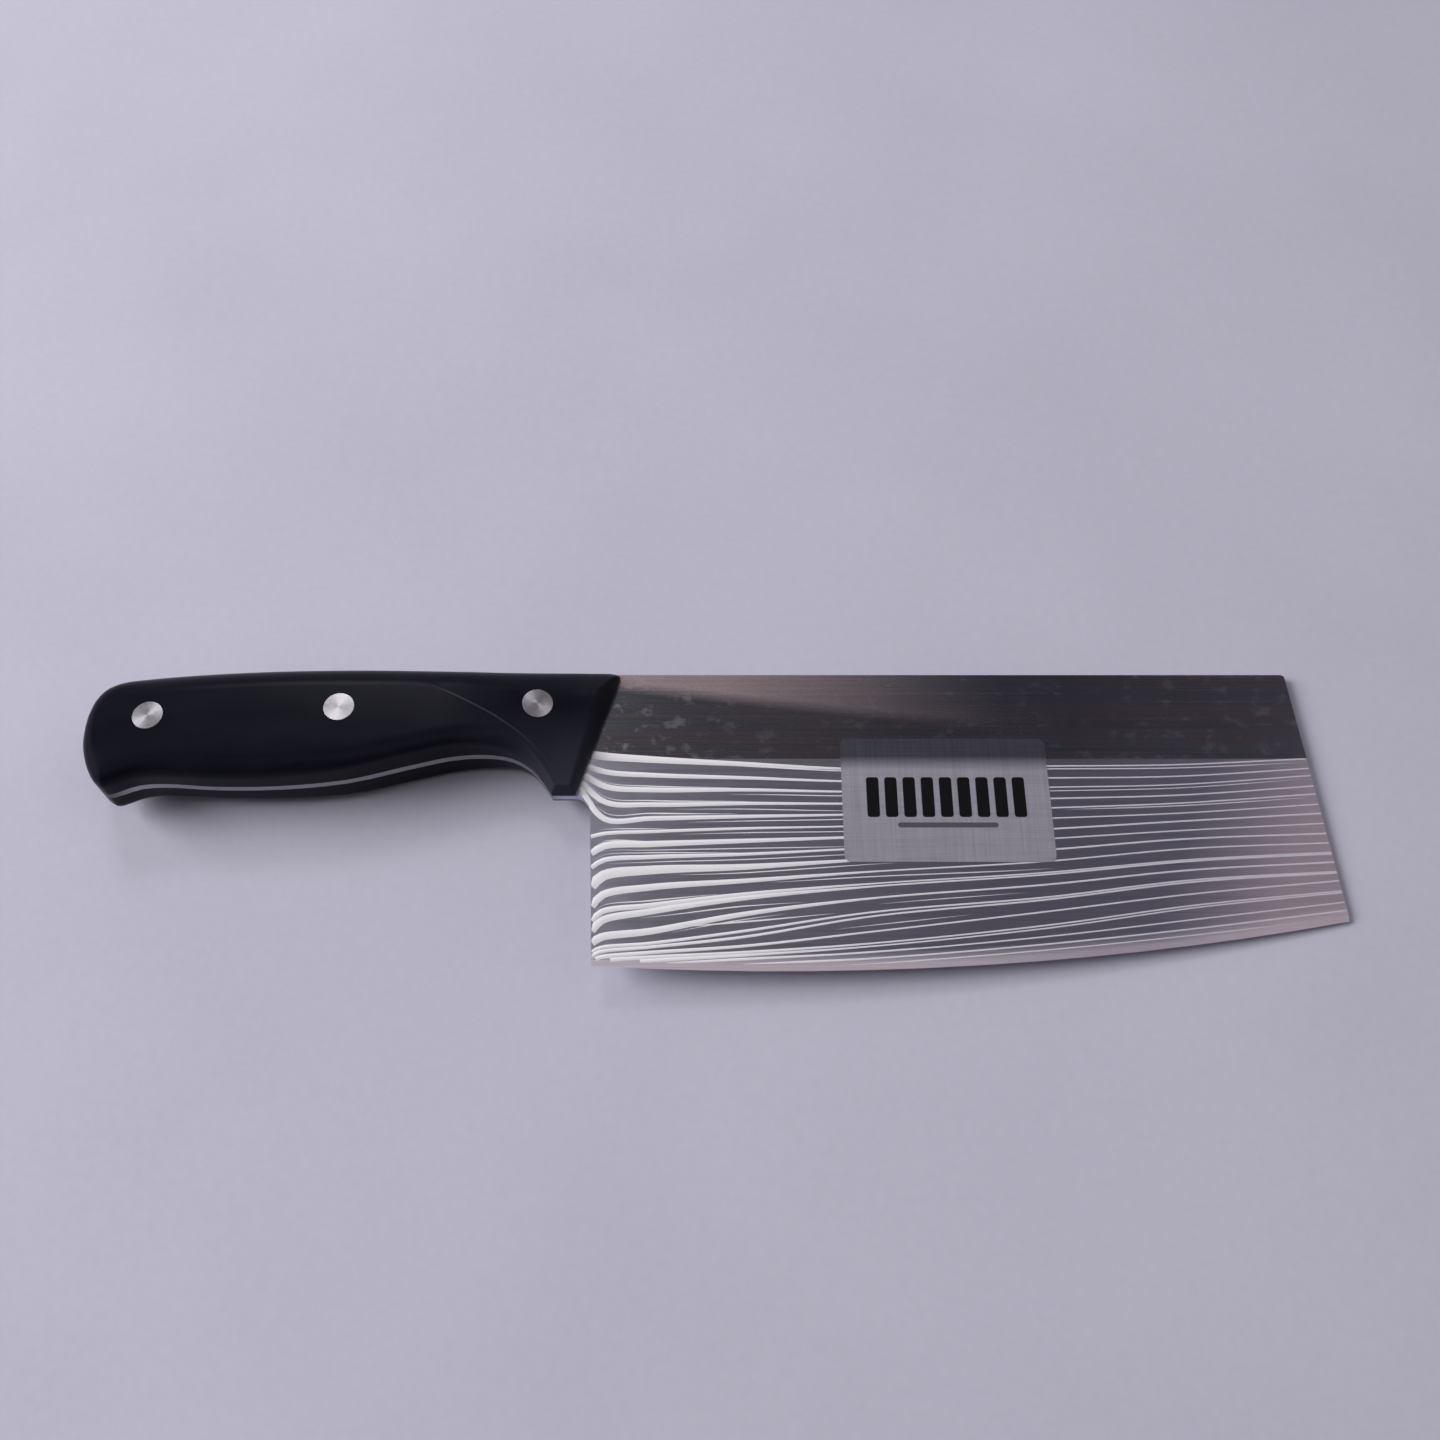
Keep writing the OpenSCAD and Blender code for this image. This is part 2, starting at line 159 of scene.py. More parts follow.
def row(x, y, z):
    """A point of the drawing frame, in millimetres, as metres in the row frame."""
    return ((x + ORIGIN_X) * MM, (y + ORIGIN_Y) * MM, (z + ORIGIN_Z) * MM)


def mix(a, b, share):
    return a * (1 - share) + b * share


def smooth(table, places):
    """Smooth curve through a table, one unit of the place for each entry."""
    table = np.asarray(table, float)
    places = np.asarray(places, float)
    last = len(table) - 1
    i = np.clip(np.floor(places).astype(int), 0, last - 1)
    u = (places - i)[..., None]
    before = table[np.maximum(i - 1, 0)]
    here = table[i]
    after = table[i + 1]
    beyond = table[np.minimum(i + 2, last)]
    square = (2 * before - 5 * here + 4 * after - beyond) * u * u / 2
    cube = (3 * here - before - 3 * after + beyond) * u * u * u / 2
    return here + (after - before) * u / 2 + square + cube


def handle_point(shares):
    """Point of the drawing frame from shares of the handle's length and height."""
    shares = np.asarray(shares, float)
    return np.stack([(shares[..., 0] - 1) * HANDLE_LEN, -shares[..., 1] * HANDLE_H], -1)


def guard_x(drop):
    """X of the handle's front edge, which leans back towards the belly."""
    return -drop * math.tan(math.radians(GUARD_SLOPE))


def front_point(drop):
    return np.array([guard_x(drop), -drop])


def top_point(stations):
    """Top line of the handle: the listed curve, then a round corner down to the front edge."""
    stations = np.asarray(stations, float)
    listed = handle_point(smooth(TOP_LINE_SHARES, np.minimum(stations, LAST_STATION)))
    past = np.maximum(stations - LAST_STATION, 0)[..., None]
    start = handle_point(TOP_LINE_SHARES[LAST_STATION])
    corner = front_point(0)
    end = front_point(GUARD_BEVEL / 2)
    rounded = mix(mix(start, corner, past), mix(corner, end, past), past)
    return np.where((stations <= LAST_STATION)[..., None], listed, rounded)


def belly_point(stations):
    """Belly line of the handle: the listed curve, then straight along the guard's tip."""
    stations = np.asarray(stations, float)
    listed = handle_point(smooth(BELLY_LINE_SHARES, np.minimum(stations, LAST_STATION)))
    past = np.maximum(stations - LAST_STATION, 0)[..., None]
    straight = mix(handle_point(BELLY_LINE_SHARES[LAST_STATION]), front_point(HANDLE_H), past)
    return np.where((stations <= LAST_STATION)[..., None], listed, straight)


def top_width(stations):
    """Width of the top rounding, which grows over the butt and ends as the guard's bevel."""
    widening = mix(BUTT_ROUND, TOP_ROUND, np.minimum(stations / BUTT_STATIONS, 1))
    return widening + (GUARD_BEVEL - TOP_ROUND) * np.maximum(stations - LAST_STATION, 0)


def belly_width(stations):
    """Width of the belly's rounding, which ends as the bevel of the guard's tip."""
    listed = BELLY_ROUND * smooth(BELLY_SHARES, np.minimum(stations, LAST_STATION))[..., 0]
    return mix(listed, GUARD_TIP_BEVEL, np.maximum(stations - LAST_STATION, 0))


def line_length(stations):
    """Distance from the top line to the belly line."""
    return np.linalg.norm(top_point(stations) - belly_point(stations), axis=-1)


def face_height(stations, shares):
    """Half thickness of the handle's face, at shares of the way from the top to the belly."""
    thickness = smooth(THICKNESS_SHARES, stations)
    ridge = smooth(RIDGE_SHARES, stations)
    past = np.clip((shares - ridge[..., 0]) * line_length(stations) / RIDGE_W + 0.5, 0, 1)
    over = past * past * (3 - 2 * past)
    crown = 4 * thickness[..., 2] * shares * (1 - shares)
    plain = HANDLE_T / 2 * (mix(thickness[..., 0], thickness[..., 1], shares) + crown)
    return plain + RIDGE_STEP * ridge[..., 1] * over


def rise(reach, stations, shares):
    """Rise of the rounding from its foot to the face: round on top, fuller below, crisp on the guard."""
    reach = np.minimum(reach, 1)
    fullness = mix(TOP_FULLNESS, BELLY_FULLNESS, shares)
    crisp = CRISP_SHARE * np.clip((stations - CRISP_FROM) / CRISP_STATIONS, 0, 1)
    return mix((1 - (1 - reach) ** 2) ** (1 / fullness), reach, crisp)


def quarter_rise(count):
    """How far a quarter turn, cut into equal steps, has risen after each of them."""
    return 1 - np.cos(math.pi / 2 * np.arange(count + 1) / count)


def row_shares(station):
    """Shares of the way from the top line to the belly line at which a station has its rows."""
    length = float(line_length(station))
    top = min(float(top_width(station)) / length, ROUND_LIMIT_SHARE)
    belly = min(float(belly_width(station)) / length, ROUND_LIMIT_SHARE)
    half_ridge = min(RIDGE_W / length / 2, RIDGE_LIMIT_SHARE)
    place = float(smooth(RIDGE_SHARES, station)[0])
    ridge = max(min(place, 1 - belly - 2 * half_ridge), top + 2 * half_ridge)
    return np.concatenate([
        top * quarter_rise(TOP_ROWS),
        mix(top, ridge - half_ridge, np.arange(1, FLAT_ROWS + 1) / FLAT_ROWS),
        mix(ridge - half_ridge, ridge + half_ridge, np.arange(1, RIDGE_ROWS) / RIDGE_ROWS),
        mix(ridge + half_ridge, 1 - belly, np.arange(FLAT_ROWS + 1) / FLAT_ROWS),
        1 - belly * quarter_rise(BELLY_ROWS)[-2::-1],
    ])


def edge_reach(points, outline):
    """Distance of each point to the outline, in widths of the rounding there."""
    after = np.roll(outline, -1, axis=0)
    ways = after[:, :2] - outline[:, :2]
    squares = (ways ** 2).sum(1)
    least = np.full(len(points), np.inf)
    for here, there, way, square in zip(outline, after, ways, squares):
        offset = points - here[:2]
        along = np.clip(offset @ way / square, 0, 1) if square else np.zeros(len(points))
        gap = np.linalg.norm(offset - along[:, None] * way, axis=1)
        least = np.minimum(least, gap / mix(here[2], there[2], along))
    return least


def scale_grid():
    """Points of a scale's outer face, one row of the array for each station."""
    listed = np.arange(LAST_STATION * STATION_STEPS + 1) / STATION_STEPS
    front = LAST_STATION + np.sin(math.pi / 2 * np.arange(1, GUARD_STEPS + 1) / GUARD_STEPS)
    stations = np.concatenate([listed, front])
    top = np.column_stack([top_point(stations), top_width(stations)])
    belly = np.column_stack([belly_point(stations), belly_width(stations)])
    outline = np.concatenate([top, belly[::-1]])
    shares = np.array([row_shares(station) for station in stations])
    stations = np.repeat(stations[:, None], shares.shape[1], 1)
    flat = mix(top_point(stations), belly_point(stations), shares[..., None])
    reach = edge_reach(flat.reshape(-1, 2), outline).reshape(shares.shape)
    wall = mix(TOP_WALL, BELLY_WALL * smooth(BELLY_SHARES, stations)[..., 1], shares ** 2)
    foot = HALF_SHEET + wall
    height = foot + (face_height(stations, shares) - foot) * rise(reach, stations, shares)
    return np.concatenate([flat, height[..., None]], -1)


def new_object(name, mesh):
    piece = bpy.data.objects.new(name, mesh)
    bpy.context.scene.collection.objects.link(piece)
    return piece


def object_from_points(name, points, faces):
    """A new object from points of the drawing frame."""
    mesh = bpy.data.meshes.new(name)
    mesh.from_pydata([row(*point) for point in points], [], faces)
    mesh.validate()
    return new_object(name, mesh)


def object_from_bmesh(name, bm):
    """A new object from a bmesh, which is freed."""
    mesh = bpy.data.meshes.new(name)
    bm.to_mesh(mesh)
    bm.free()
    return new_object(name, mesh)


def change_mesh(mesh, change):
    """Makes one bmesh change to a mesh."""
    bm = bmesh.new()
    bm.from_mesh(mesh)
    change(bm)
    bm.to_mesh(mesh)
    bm.free()


def face_outwards(piece):
    change_mesh(piece.data, lambda bm: bmesh.ops.recalc_face_normals(bm, faces=bm.faces))


def smooth_by_angle(piece, degrees):
    mesh = piece.data
    mesh.polygons.foreach_set("use_smooth", [True] * len(mesh.polygons))
    mesh.set_sharp_from_angle(angle=math.radians(degrees))


def scale_solid(name, side):
    """One handle scale without its holes: side is 1 for the label side and -1 for the other."""
    grid = scale_grid()
    count, wide = grid.shape[:2]
    front = count - 1
    last = wide - 1
    rim = [(i, 0) for i in range(count)] + [(front, j) for j in range(1, wide)]
    rim += [(i, last) for i in range(front - 1, -1, -1)] + [(0, j) for j in range(last - 1, 0, -1)]
    points = [tuple(point) for point in grid.reshape(-1, 3)]
    base = {place: len(points) + k for k, place in enumerate(rim)}
    points += [(grid[i, j, 0], grid[i, j, 1], HALF_SHEET) for i, j in rim]
    faces = []
    for i in range(front):
        for j in range(last):
            corner = i * wide + j
            faces.append((corner, corner + wide, corner + wide + 1, corner + 1))
    for here, after in zip(rim, rim[1:] + rim[:1]):
        faces.append((here[0] * wide + here[1], after[0] * wide + after[1], base[after], base[here]))
    for i in range(1, front - 1):
        faces.append((base[i, 0], base[i + 1, 0], base[i + 1, last], base[i, last]))
    faces.append((base[1, 0], *[base[0, j] for j in range(wide)], base[1, last]))
    faces.append((base[front - 1, 0], *[base[front, j] for j in range(wide)], base[front - 1, last]))
    piece = object_from_points(name, [(x, y, side * z) for x, y, z in points], faces)
    face_outwards(piece)
    return piece


def seat(along_share, share):
    """Place of a rivet on the label side's face, and the face's normal there."""
    station = along_share * LAST_STATION

    def at(on, down):
        place = mix(top_point(station + on), belly_point(station + on), share + down)
        return Vector((*place, float(face_height(station + on, share + down))))

    along = at(SLOPE_STEP, 0) - at(-SLOPE_STEP, 0)
    up = at(0, -SLOPE_STEP) - at(0, SLOPE_STEP)
    return at(0, 0), along.cross(up).normalized()


# Holes of the scales: sides of a hole, chamfer at its mouth, height of the chamfer's cutter, and the
# length of an edge that counts as a sliver
HOLE_SIDES = 96
CHAMFER = 0.16
MOUTH = 0.6
SLIVER = 0.001


def add_cone(bm, low_r, high_r, height, placing):
    bmesh.ops.create_cone(
        bm, cap_ends=True, segments=HOLE_SIDES, radius1=low_r * MM, radius2=high_r * MM,
        depth=height * MM, matrix=placing,
    )


def hole_cutters(side):
    """Cutters of one scale: the heads' bores, the chamfers at their mouths, and the tubes' holes."""
    bore = HEAD_D / 2 + HEAD_GAP
    tube = SOCKET_HOLE_D / 2
    heads, mouths, tubes = bmesh.new(), bmesh.new(), bmesh.new()
    for shares in RIVET_SHARES:
        place, normal = seat(*shares)
        outward = Vector((normal.x, normal.y, side * normal.z))
        top = Vector((place.x, place.y, side * place.z))
        turn = Vector((0, 0, 1)).rotation_difference(outward).to_matrix().to_4x4()
        mouth = top + (MOUTH / 2 - CHAMFER) * outward
        add_cone(heads, bore, bore, 2 * HEAD_T, Matrix.Translation(row(*top)))
        add_cone(mouths, bore, bore + MOUTH, MOUTH, Matrix.Translation(row(*mouth)) @ turn)
        add_cone(tubes, tube, tube, HANDLE_T, Matrix.Translation(row(place.x, place.y, 0)))
    return [object_from_bmesh("cutter", part) for part in (heads, mouths, tubes)]


def drill(piece, cutters):
    """Cuts the holes, and leaves a plain mesh with no modifier and no sliver."""
    for cutter in cutters:
        cut = piece.modifiers.new("cut", "BOOLEAN")
        cut.operation = "DIFFERENCE"
        cut.solver = "EXACT"
        cut.object = cutter
    depsgraph = bpy.context.evaluated_depsgraph_get()
    drilled = bpy.data.meshes.new_from_object(piece.evaluated_get(depsgraph))
    piece.modifiers.clear()
    old = piece.data
    piece.data = drilled
    bpy.data.meshes.remove(old)
    for cutter in cutters:
        bpy.data.objects.remove(cutter)
    change_mesh(
        drilled, lambda bm: bmesh.ops.dissolve_degenerate(bm, dist=SLIVER * MM, edges=bm.edges),
    )


def grip(name, side):
    piece = scale_solid(name, side)
    drill(piece, hole_cutters(side))
    smooth_by_angle(piece, GRIP_CREASE_ANGLE)
    return piece


# Etched lines: the drop below the spine where the line starts on the handle's front edge or on the
# heel, its drops at these places along the blade, and its width at the heel and from mid blade on.
# None means that the line has not yet left the cutting edge there.
LINE_PLACES = (-3, 8, 30, 60, 100, 135, 167)
LINES = [
    (22.4, (22.9, 23.7, 24.9, 26.3, 25.5, 25.1, 23.5), 2.2, 0.4),
    (25.6, (27.1, 27.9, 28.6, 29.6, 28.7, 28.2, 26.1), 1.5, 0.38),
    (27.9, (31.0, 31.8, 31.8, 32.3, 31.2, 30.4, 28.0), 1.6, 0.36),
    (29.9, (35.1, 35.7, 35.4, 35.4, 34.2, 33.2, 30.8), 1.5, 0.4),
    (31.2, (39.5, 39.3, 38.8, 38.2, 36.7, 35.3, 32.9), 1.5, 0.4),
    (44.0, (43.2, 42.7, 41.9, 41.2, 39.4, 37.9, 35.6), 1.0, 0.36),
    (48.2, (46.4, 45.9, 45.1, 44.0, 42.2, 40.0, 38.0), 1.9, 0.46),
    (51.8, (50.0, 49.2, 48.5, 46.9, 44.7, 42.4, 40.6), 1.3, 0.38),
    (56.5, (53.9, 52.5, 51.7, 49.8, 47.5, 44.6, 43.2), 2.7, 0.46),
    (61.5, (58.7, 56.8, 55.2, 52.9, 50.4, 47.1, 45.6), 2.0, 0.4),
    (65.0, (62.8, 61.3, 58.5, 55.9, 53.2, 49.9, 48.0), 1.5, 0.38),
    (67.5, (65.0, 62.8, 59.5, 56.6, 53.7, 50.3, 48.4), 1.9, 0.42),
    (70.3, (69.0, 67.6, 63.4, 59.5, 56.2, 52.5, 50.5), 2.0, 0.46),
    (72.5, (71.5, 70.5, 67.5, 62.9, 59.3, 55.0, 52.9), 0.9, 0.44),
    (73.5, (72.5, 71.4, 68.9, 63.9, 59.9, 55.5, 53.2), 0.9, 0.44),
    (74.6, (73.8, 72.7, 71.1, 67.6, 62.8, 58.4, 55.2), 1.0, 0.4),
    (75.3, (74.7, 73.8, 72.6, 70.4, 66.1, 61.2, 57.7), 1.0, 0.4),
    (75.9, (75.3, 74.6, 73.3, 71.1, 66.8, 61.8, 58.1), 1.0, 0.36),
    (None, (None, 75.3, 74.2, 72.5, 68.8, 64.6, 60.5), 1.0, 0.36),
    (None, (None, None, 75.4, 74.0, 70.6, 66.8, 62.5), 1.0, 0.4),
]
# Thin companions: number of the line beside which one runs, its distance below that line at its
# start and at its end, the stretch of the blade that it runs along, and its width
COMPANIONS = [
    (0, 0.5, 0.95, 16, 167, 0.32), (2, -1.2, -0.6, -7, 28, 0.36), (2, 1.2, 0.8, 26, 167, 0.26),
    (3, -1.4, -0.5, -7, 32, 0.36), (3, 1.2, 2.0, 12, 62, 0.24), (4, -1.7, -0.7, -6, 30, 0.4),
    (4, 1.2, 1.2, 16, 74, 0.26), (4, 0.55, 0.8, 106, 167, 0.3), (5, -1.1, -0.6, -6, 12, 0.3),
    (5, 1.0, 1.6, 14, 90, 0.24), (6, -1.3, -0.7, -6, 9, 0.3), (6, 1.4, 2.4, -4, 60, 0.26),
    (7, -1.4, -0.5, -6, 30, 0.32), (7, 1.3, 1.4, -2, 64, 0.26), (8, 1.6, 1.2, 14, 66, 0.28),
    (9, 0.9, 1.9, 36, 104, 0.28), (10, -1.5, -0.7, -5, 24, 0.4), (12, -3.6, -0.9, 6, 44, 0.32),
    (12, 1.2, 1.4, 12, 40, 0.26), (12, 1.6, 1.5, 60, 96, 0.24), (13, -3.4, -0.9, 10, 52, 0.4),
    (15, -1.6, -1.4, 50, 84, 0.24), (17, 1.0, 1.3, 12, 70, 0.32), (19, 1.2, 1.6, 50, 160, 0.3),
]
# Section of a line: its rise as a share of its half width, its greatest rise, the section's points as
# shares of the half width and the rise, and how deep it sits in the ground face
BEAD_RISE = 0.2
BEAD_MAX_T = 0.09
BEAD_SECTION = ((-1, 0), (-0.55, 0.7), (0, 1), (0.55, 0.7), (1, 0))
BEAD_SUNK = 0.004
# Step along a line, the steps and the least share of the width at a loose end, the gap left at the
# ground face's ends, and the places along X between which the lines get narrower
LINE_STEP = 1.4
TAPER_STEPS = 12
TAPER_SHARE = 0.2
LINE_MARGIN = 0.12
SWEEP_FROM = -5
SWEEP_TO = 62
LINE_CREASE_ANGLE = 30

# Height of the edge's bevel, and how much the ground face falls for each millimetre of drop
BEVEL_H = EDGE_T / 2 / math.tan(math.radians(EDGE_ANGLE))
GROUND_FALL = (CHEEK - EDGE_T / 2) / (BLADE_H - GRIND_DROP)


def cutting_edge_drop(x):
    return BLADE_H - EDGE_R + math.sqrt(EDGE_R ** 2 - (x - EDGE_LOW_X) ** 2)


def rear_x(drop):
    """Where the ground face begins: the handle's front edge, the notch's rounding or the heel."""
    if drop < HANDLE_H:
        return guard_x(drop)
    if drop < HANDLE_H + HEEL_R:
        return -HEEL_BACK - HEEL_R + math.sqrt(HEEL_R ** 2 - (HANDLE_H + HEEL_R - drop) ** 2)
    return -HEEL_BACK + (drop - HANDLE_H) * math.tan(math.radians(HEEL_LEAN))


def front_x(drop):
    return BLADE_LEN + drop * math.tan(math.radians(FRONT_LEAN))


def face_above_middle(drop):
    """Height of the cheek or the ground face above the blade's middle plane."""
    return CHEEK - max(drop - GRIND_DROP, 0) * GROUND_FALL


def curve_through(points, step):
    """Smooth curve through points in the plane, as points about one step apart."""
    points = np.asarray(points, float)
    lengths = np.linalg.norm(np.diff(points, axis=0), axis=1)
    knots = np.concatenate([[0], np.cumsum(np.sqrt(lengths))])
    slopes = np.gradient(points, knots, axis=0)
    pieces = []
    for i in range(len(points) - 1):
        span = knots[i + 1] - knots[i]
        count = max(int(lengths[i] / step), 2)
        u = (np.arange(count) / count)[:, None]
        pieces.append(
            points[i] * (1 + 2 * u) * (1 - u) ** 2
            + slopes[i] * span * u * (1 - u) ** 2
            + points[i + 1] * u * u * (3 - 2 * u)
            - slopes[i + 1] * span * u * u * (1 - u)
        )
    return np.concatenate([*pieces, points[-1:]])


def line_curve(number):
    """Course of an etched line over the ground face, as points (x, drop)."""
    start, drops, _, _ = LINES[number]
    points = [] if start is None else [(rear_x(start) + LINE_MARGIN, start)]
    points += [(x, drop) for x, drop in zip(LINE_PLACES[:-1], drops[:-1]) if drop is not None]
    points.append((front_x(drops[-1]) - LINE_MARGIN, drops[-1]))
    return curve_through(points, LINE_STEP)


def line_width(number, x):
    _, _, at_heel, later = LINES[number]
    return mix(at_heel, later, np.clip((x - SWEEP_FROM) / (SWEEP_TO - SWEEP_FROM), 0, 1))


def companion_curve(entry):
    """Course of a thin line, held at its distance from the line beside it."""
    number, from_drop, to_drop, from_x, to_x, _ = entry
    course = line_curve(number)
    part = course[(course[:, 0] > from_x) & (course[:, 0] < to_x)]
    part[:, 1] += mix(from_drop, to_drop, np.linspace(0, 1, len(part)))
    return part


def on_ground_face(course, widths):
    """Drops the points of a course that lie beyond the heel, the front end or the edge's bevel."""
    keep = [
        rear_x(drop) + LINE_MARGIN / 2 < x < front_x(drop) - LINE_MARGIN / 2
        and drop + width / 2 < cutting_edge_drop(x) - BEVEL_H
        for (x, drop), width in zip(course, widths)
    ]
    return course[keep], widths[keep]


def taper(widths, at_start, at_end):
    """Lets the widths fall off towards a loose end."""
    reach = min(TAPER_STEPS, len(widths) // 2)
    fade = np.linspace(TAPER_SHARE, 1, reach)
    if at_start:
        widths[:reach] *= fade
    if at_end:
        widths[-reach:] *= fade[::-1]
    return widths


def add_bead(points, faces, course, widths, side):
    """A low rounded ridge along a course over the ground face, closed all round."""
    way = np.gradient(course, axis=0)
    way /= np.linalg.norm(way, axis=1)[:, None]
    across = np.stack([-way[:, 1], way[:, 0]], 1)
    first = len(points)
    count = len(BEAD_SECTION)
    for place, out, width in zip(course, across, widths):
        height = min(width / 2 * BEAD_RISE, BEAD_MAX_T)
        for reach, share in BEAD_SECTION:
            x, drop = place + out * reach * width / 2
            x = min(max(x, rear_x(drop) + LINE_MARGIN), front_x(drop) - LINE_MARGIN)
            points.append((x, -drop, side * (face_above_middle(drop) + height * share - BEAD_SUNK)))
    last = first + count * (len(course) - 1)
    for ring in range(first, last, count):
        for here in range(count):
            after = (here + 1) % count
            faces.append((ring + here, ring + after, ring + after + count, ring + here + count))
    faces.append(tuple(range(first, first + count)))
    faces.append(tuple(range(last, last + count)))


def etched_lines(name, side):
    """All lines of one side as one piece: the listed ones and their thin companions."""
    points = []
    faces = []
    for number, (start, _, _, _) in enumerate(LINES):
        course = line_curve(number)
        course, widths = on_ground_face(course, line_width(number, course[:, 0]))
        add_bead(points, faces, course, taper(widths, start is None, False), side)
    for entry in COMPANIONS:
        course = companion_curve(entry)
        course, widths = on_ground_face(course, np.full(len(course), entry[-1]))
        add_bead(points, faces, course, taper(widths, True, True), side)
    piece = object_from_points(name, points, faces)
    face_outwards(piece)
    smooth_by_angle(piece, LINE_CREASE_ANGLE)
    return piece


# Printed motif of the label: a plain row of bars over a thin line, which sit a little in the foil
BAR_COUNT = 9
BAR_W = 3.0
BAR_PITCH = 4.4
BAR_H = 10.5
BAR_DROP = 28.5
BAR_R = 0.7
RULE_W = 24.0
RULE_H = 1.3
RULE_DROP = 40.4
RULE_R = 0.64
PRINT_T = 0.012
PRINT_SUNK = 0.002
PRINT_CORNER_STEPS = 5


def add_plate(bm, x, drop, width, height, radius):
    """A thin plate with round corners on the lower face of the label; x and drop are its top left."""
    corners = []
    left, right = x + radius, x + width - radius
    high, low = drop + radius, drop + height - radius
    middles = ((right, high), (left, high), (left, low), (right, low))
    for quarter, (middle_x, middle_drop) in enumerate(middles):
        for step in range(PRINT_CORNER_STEPS + 1):
            angle = math.pi / 2 * (quarter + step / PRINT_CORNER_STEPS)
            corners.append((middle_x + radius * math.cos(angle), middle_drop - radius * math.sin(angle)))
    under, over = [
        [bm.verts.new(row(at_x, -at_drop, face_above_middle(at_drop) + lift)) for at_x, at_drop in corners]
        for lift in (LABEL_T - PRINT_SUNK, LABEL_T + PRINT_T)
    ]
    bm.faces.new(over)
    bm.faces.new(under[::-1])
    for k in range(len(under)):
        after = (k + 1) % len(under)
        bm.faces.new((under[k], under[after], over[after], over[k]))


def printed(name, plates):
    """Plates of the label's print as one piece."""
    bm = bmesh.new()
    for plate in plates:
        add_plate(bm, *plate)
    piece = object_from_bmesh(name, bm)
    face_outwards(piece)
    return piece


def label_bars(name):
    first = LABEL_X + LABEL_W / 2 - (BAR_PITCH * (BAR_COUNT - 1) + BAR_W) / 2
    places = [first + BAR_PITCH * k for k in range(BAR_COUNT)]
    return printed(name, [(x, BAR_DROP, BAR_W, BAR_H, BAR_R) for x in places])


def label_rule(name):
    left = LABEL_X + (LABEL_W - RULE_W) / 2
    return printed(name, [(left, RULE_DROP, RULE_W, RULE_H, RULE_R)])


def feed(tree, socket, value):
    """Gives a socket a number, a colour or the output of another node."""
    if isinstance(value, tuple):
        socket.default_value = (*value, 1)
    elif isinstance(value, (int, float)):
        socket.default_value = value
    else:
        tree.links.new(value, socket)


def colour_mix(tree, share, a, b, blend_type="MIX"):
    """Colour a where share is 0 and colour b where it is 1; each is a colour or an output."""
    made = tree.nodes.new("ShaderNodeMix")
    made.data_type = "RGBA"
    made.blend_type = blend_type
    colours = [socket for socket in made.inputs if socket.type == "RGBA"]
    for socket, value in zip((made.inputs[0], *colours), (share, a, b)):
        feed(tree, socket, value)
    return [socket for socket in made.outputs if socket.type == "RGBA"][0]


def node_math(tree, operation, a, b=0.0):
    made = tree.nodes.new("ShaderNodeMath")
    made.operation = operation
    for socket, value in zip(made.inputs, (a, b)):
        feed(tree, socket, value)
    return made.outputs["Value"]


def map_range(tree, value, low, high, to_low, to_high, kind="LINEAR"):
    """Maps the range low to high onto another range, held at its ends."""
    made = tree.nodes.new("ShaderNodeMapRange")
    made.interpolation_type = kind
    names = ("Value", "From Min", "From Max", "To Min", "To Max")
    for name, setting in zip(names, (value, low, high, to_low, to_high)):
        feed(tree, made.inputs[name], setting)
    return made.outputs["Result"]


# Ranges that hold most values of a noise, and of the mean of two noises
NOISE_REACH = (0.3, 0.7)
MEAN_REACH = (0.35, 0.65)


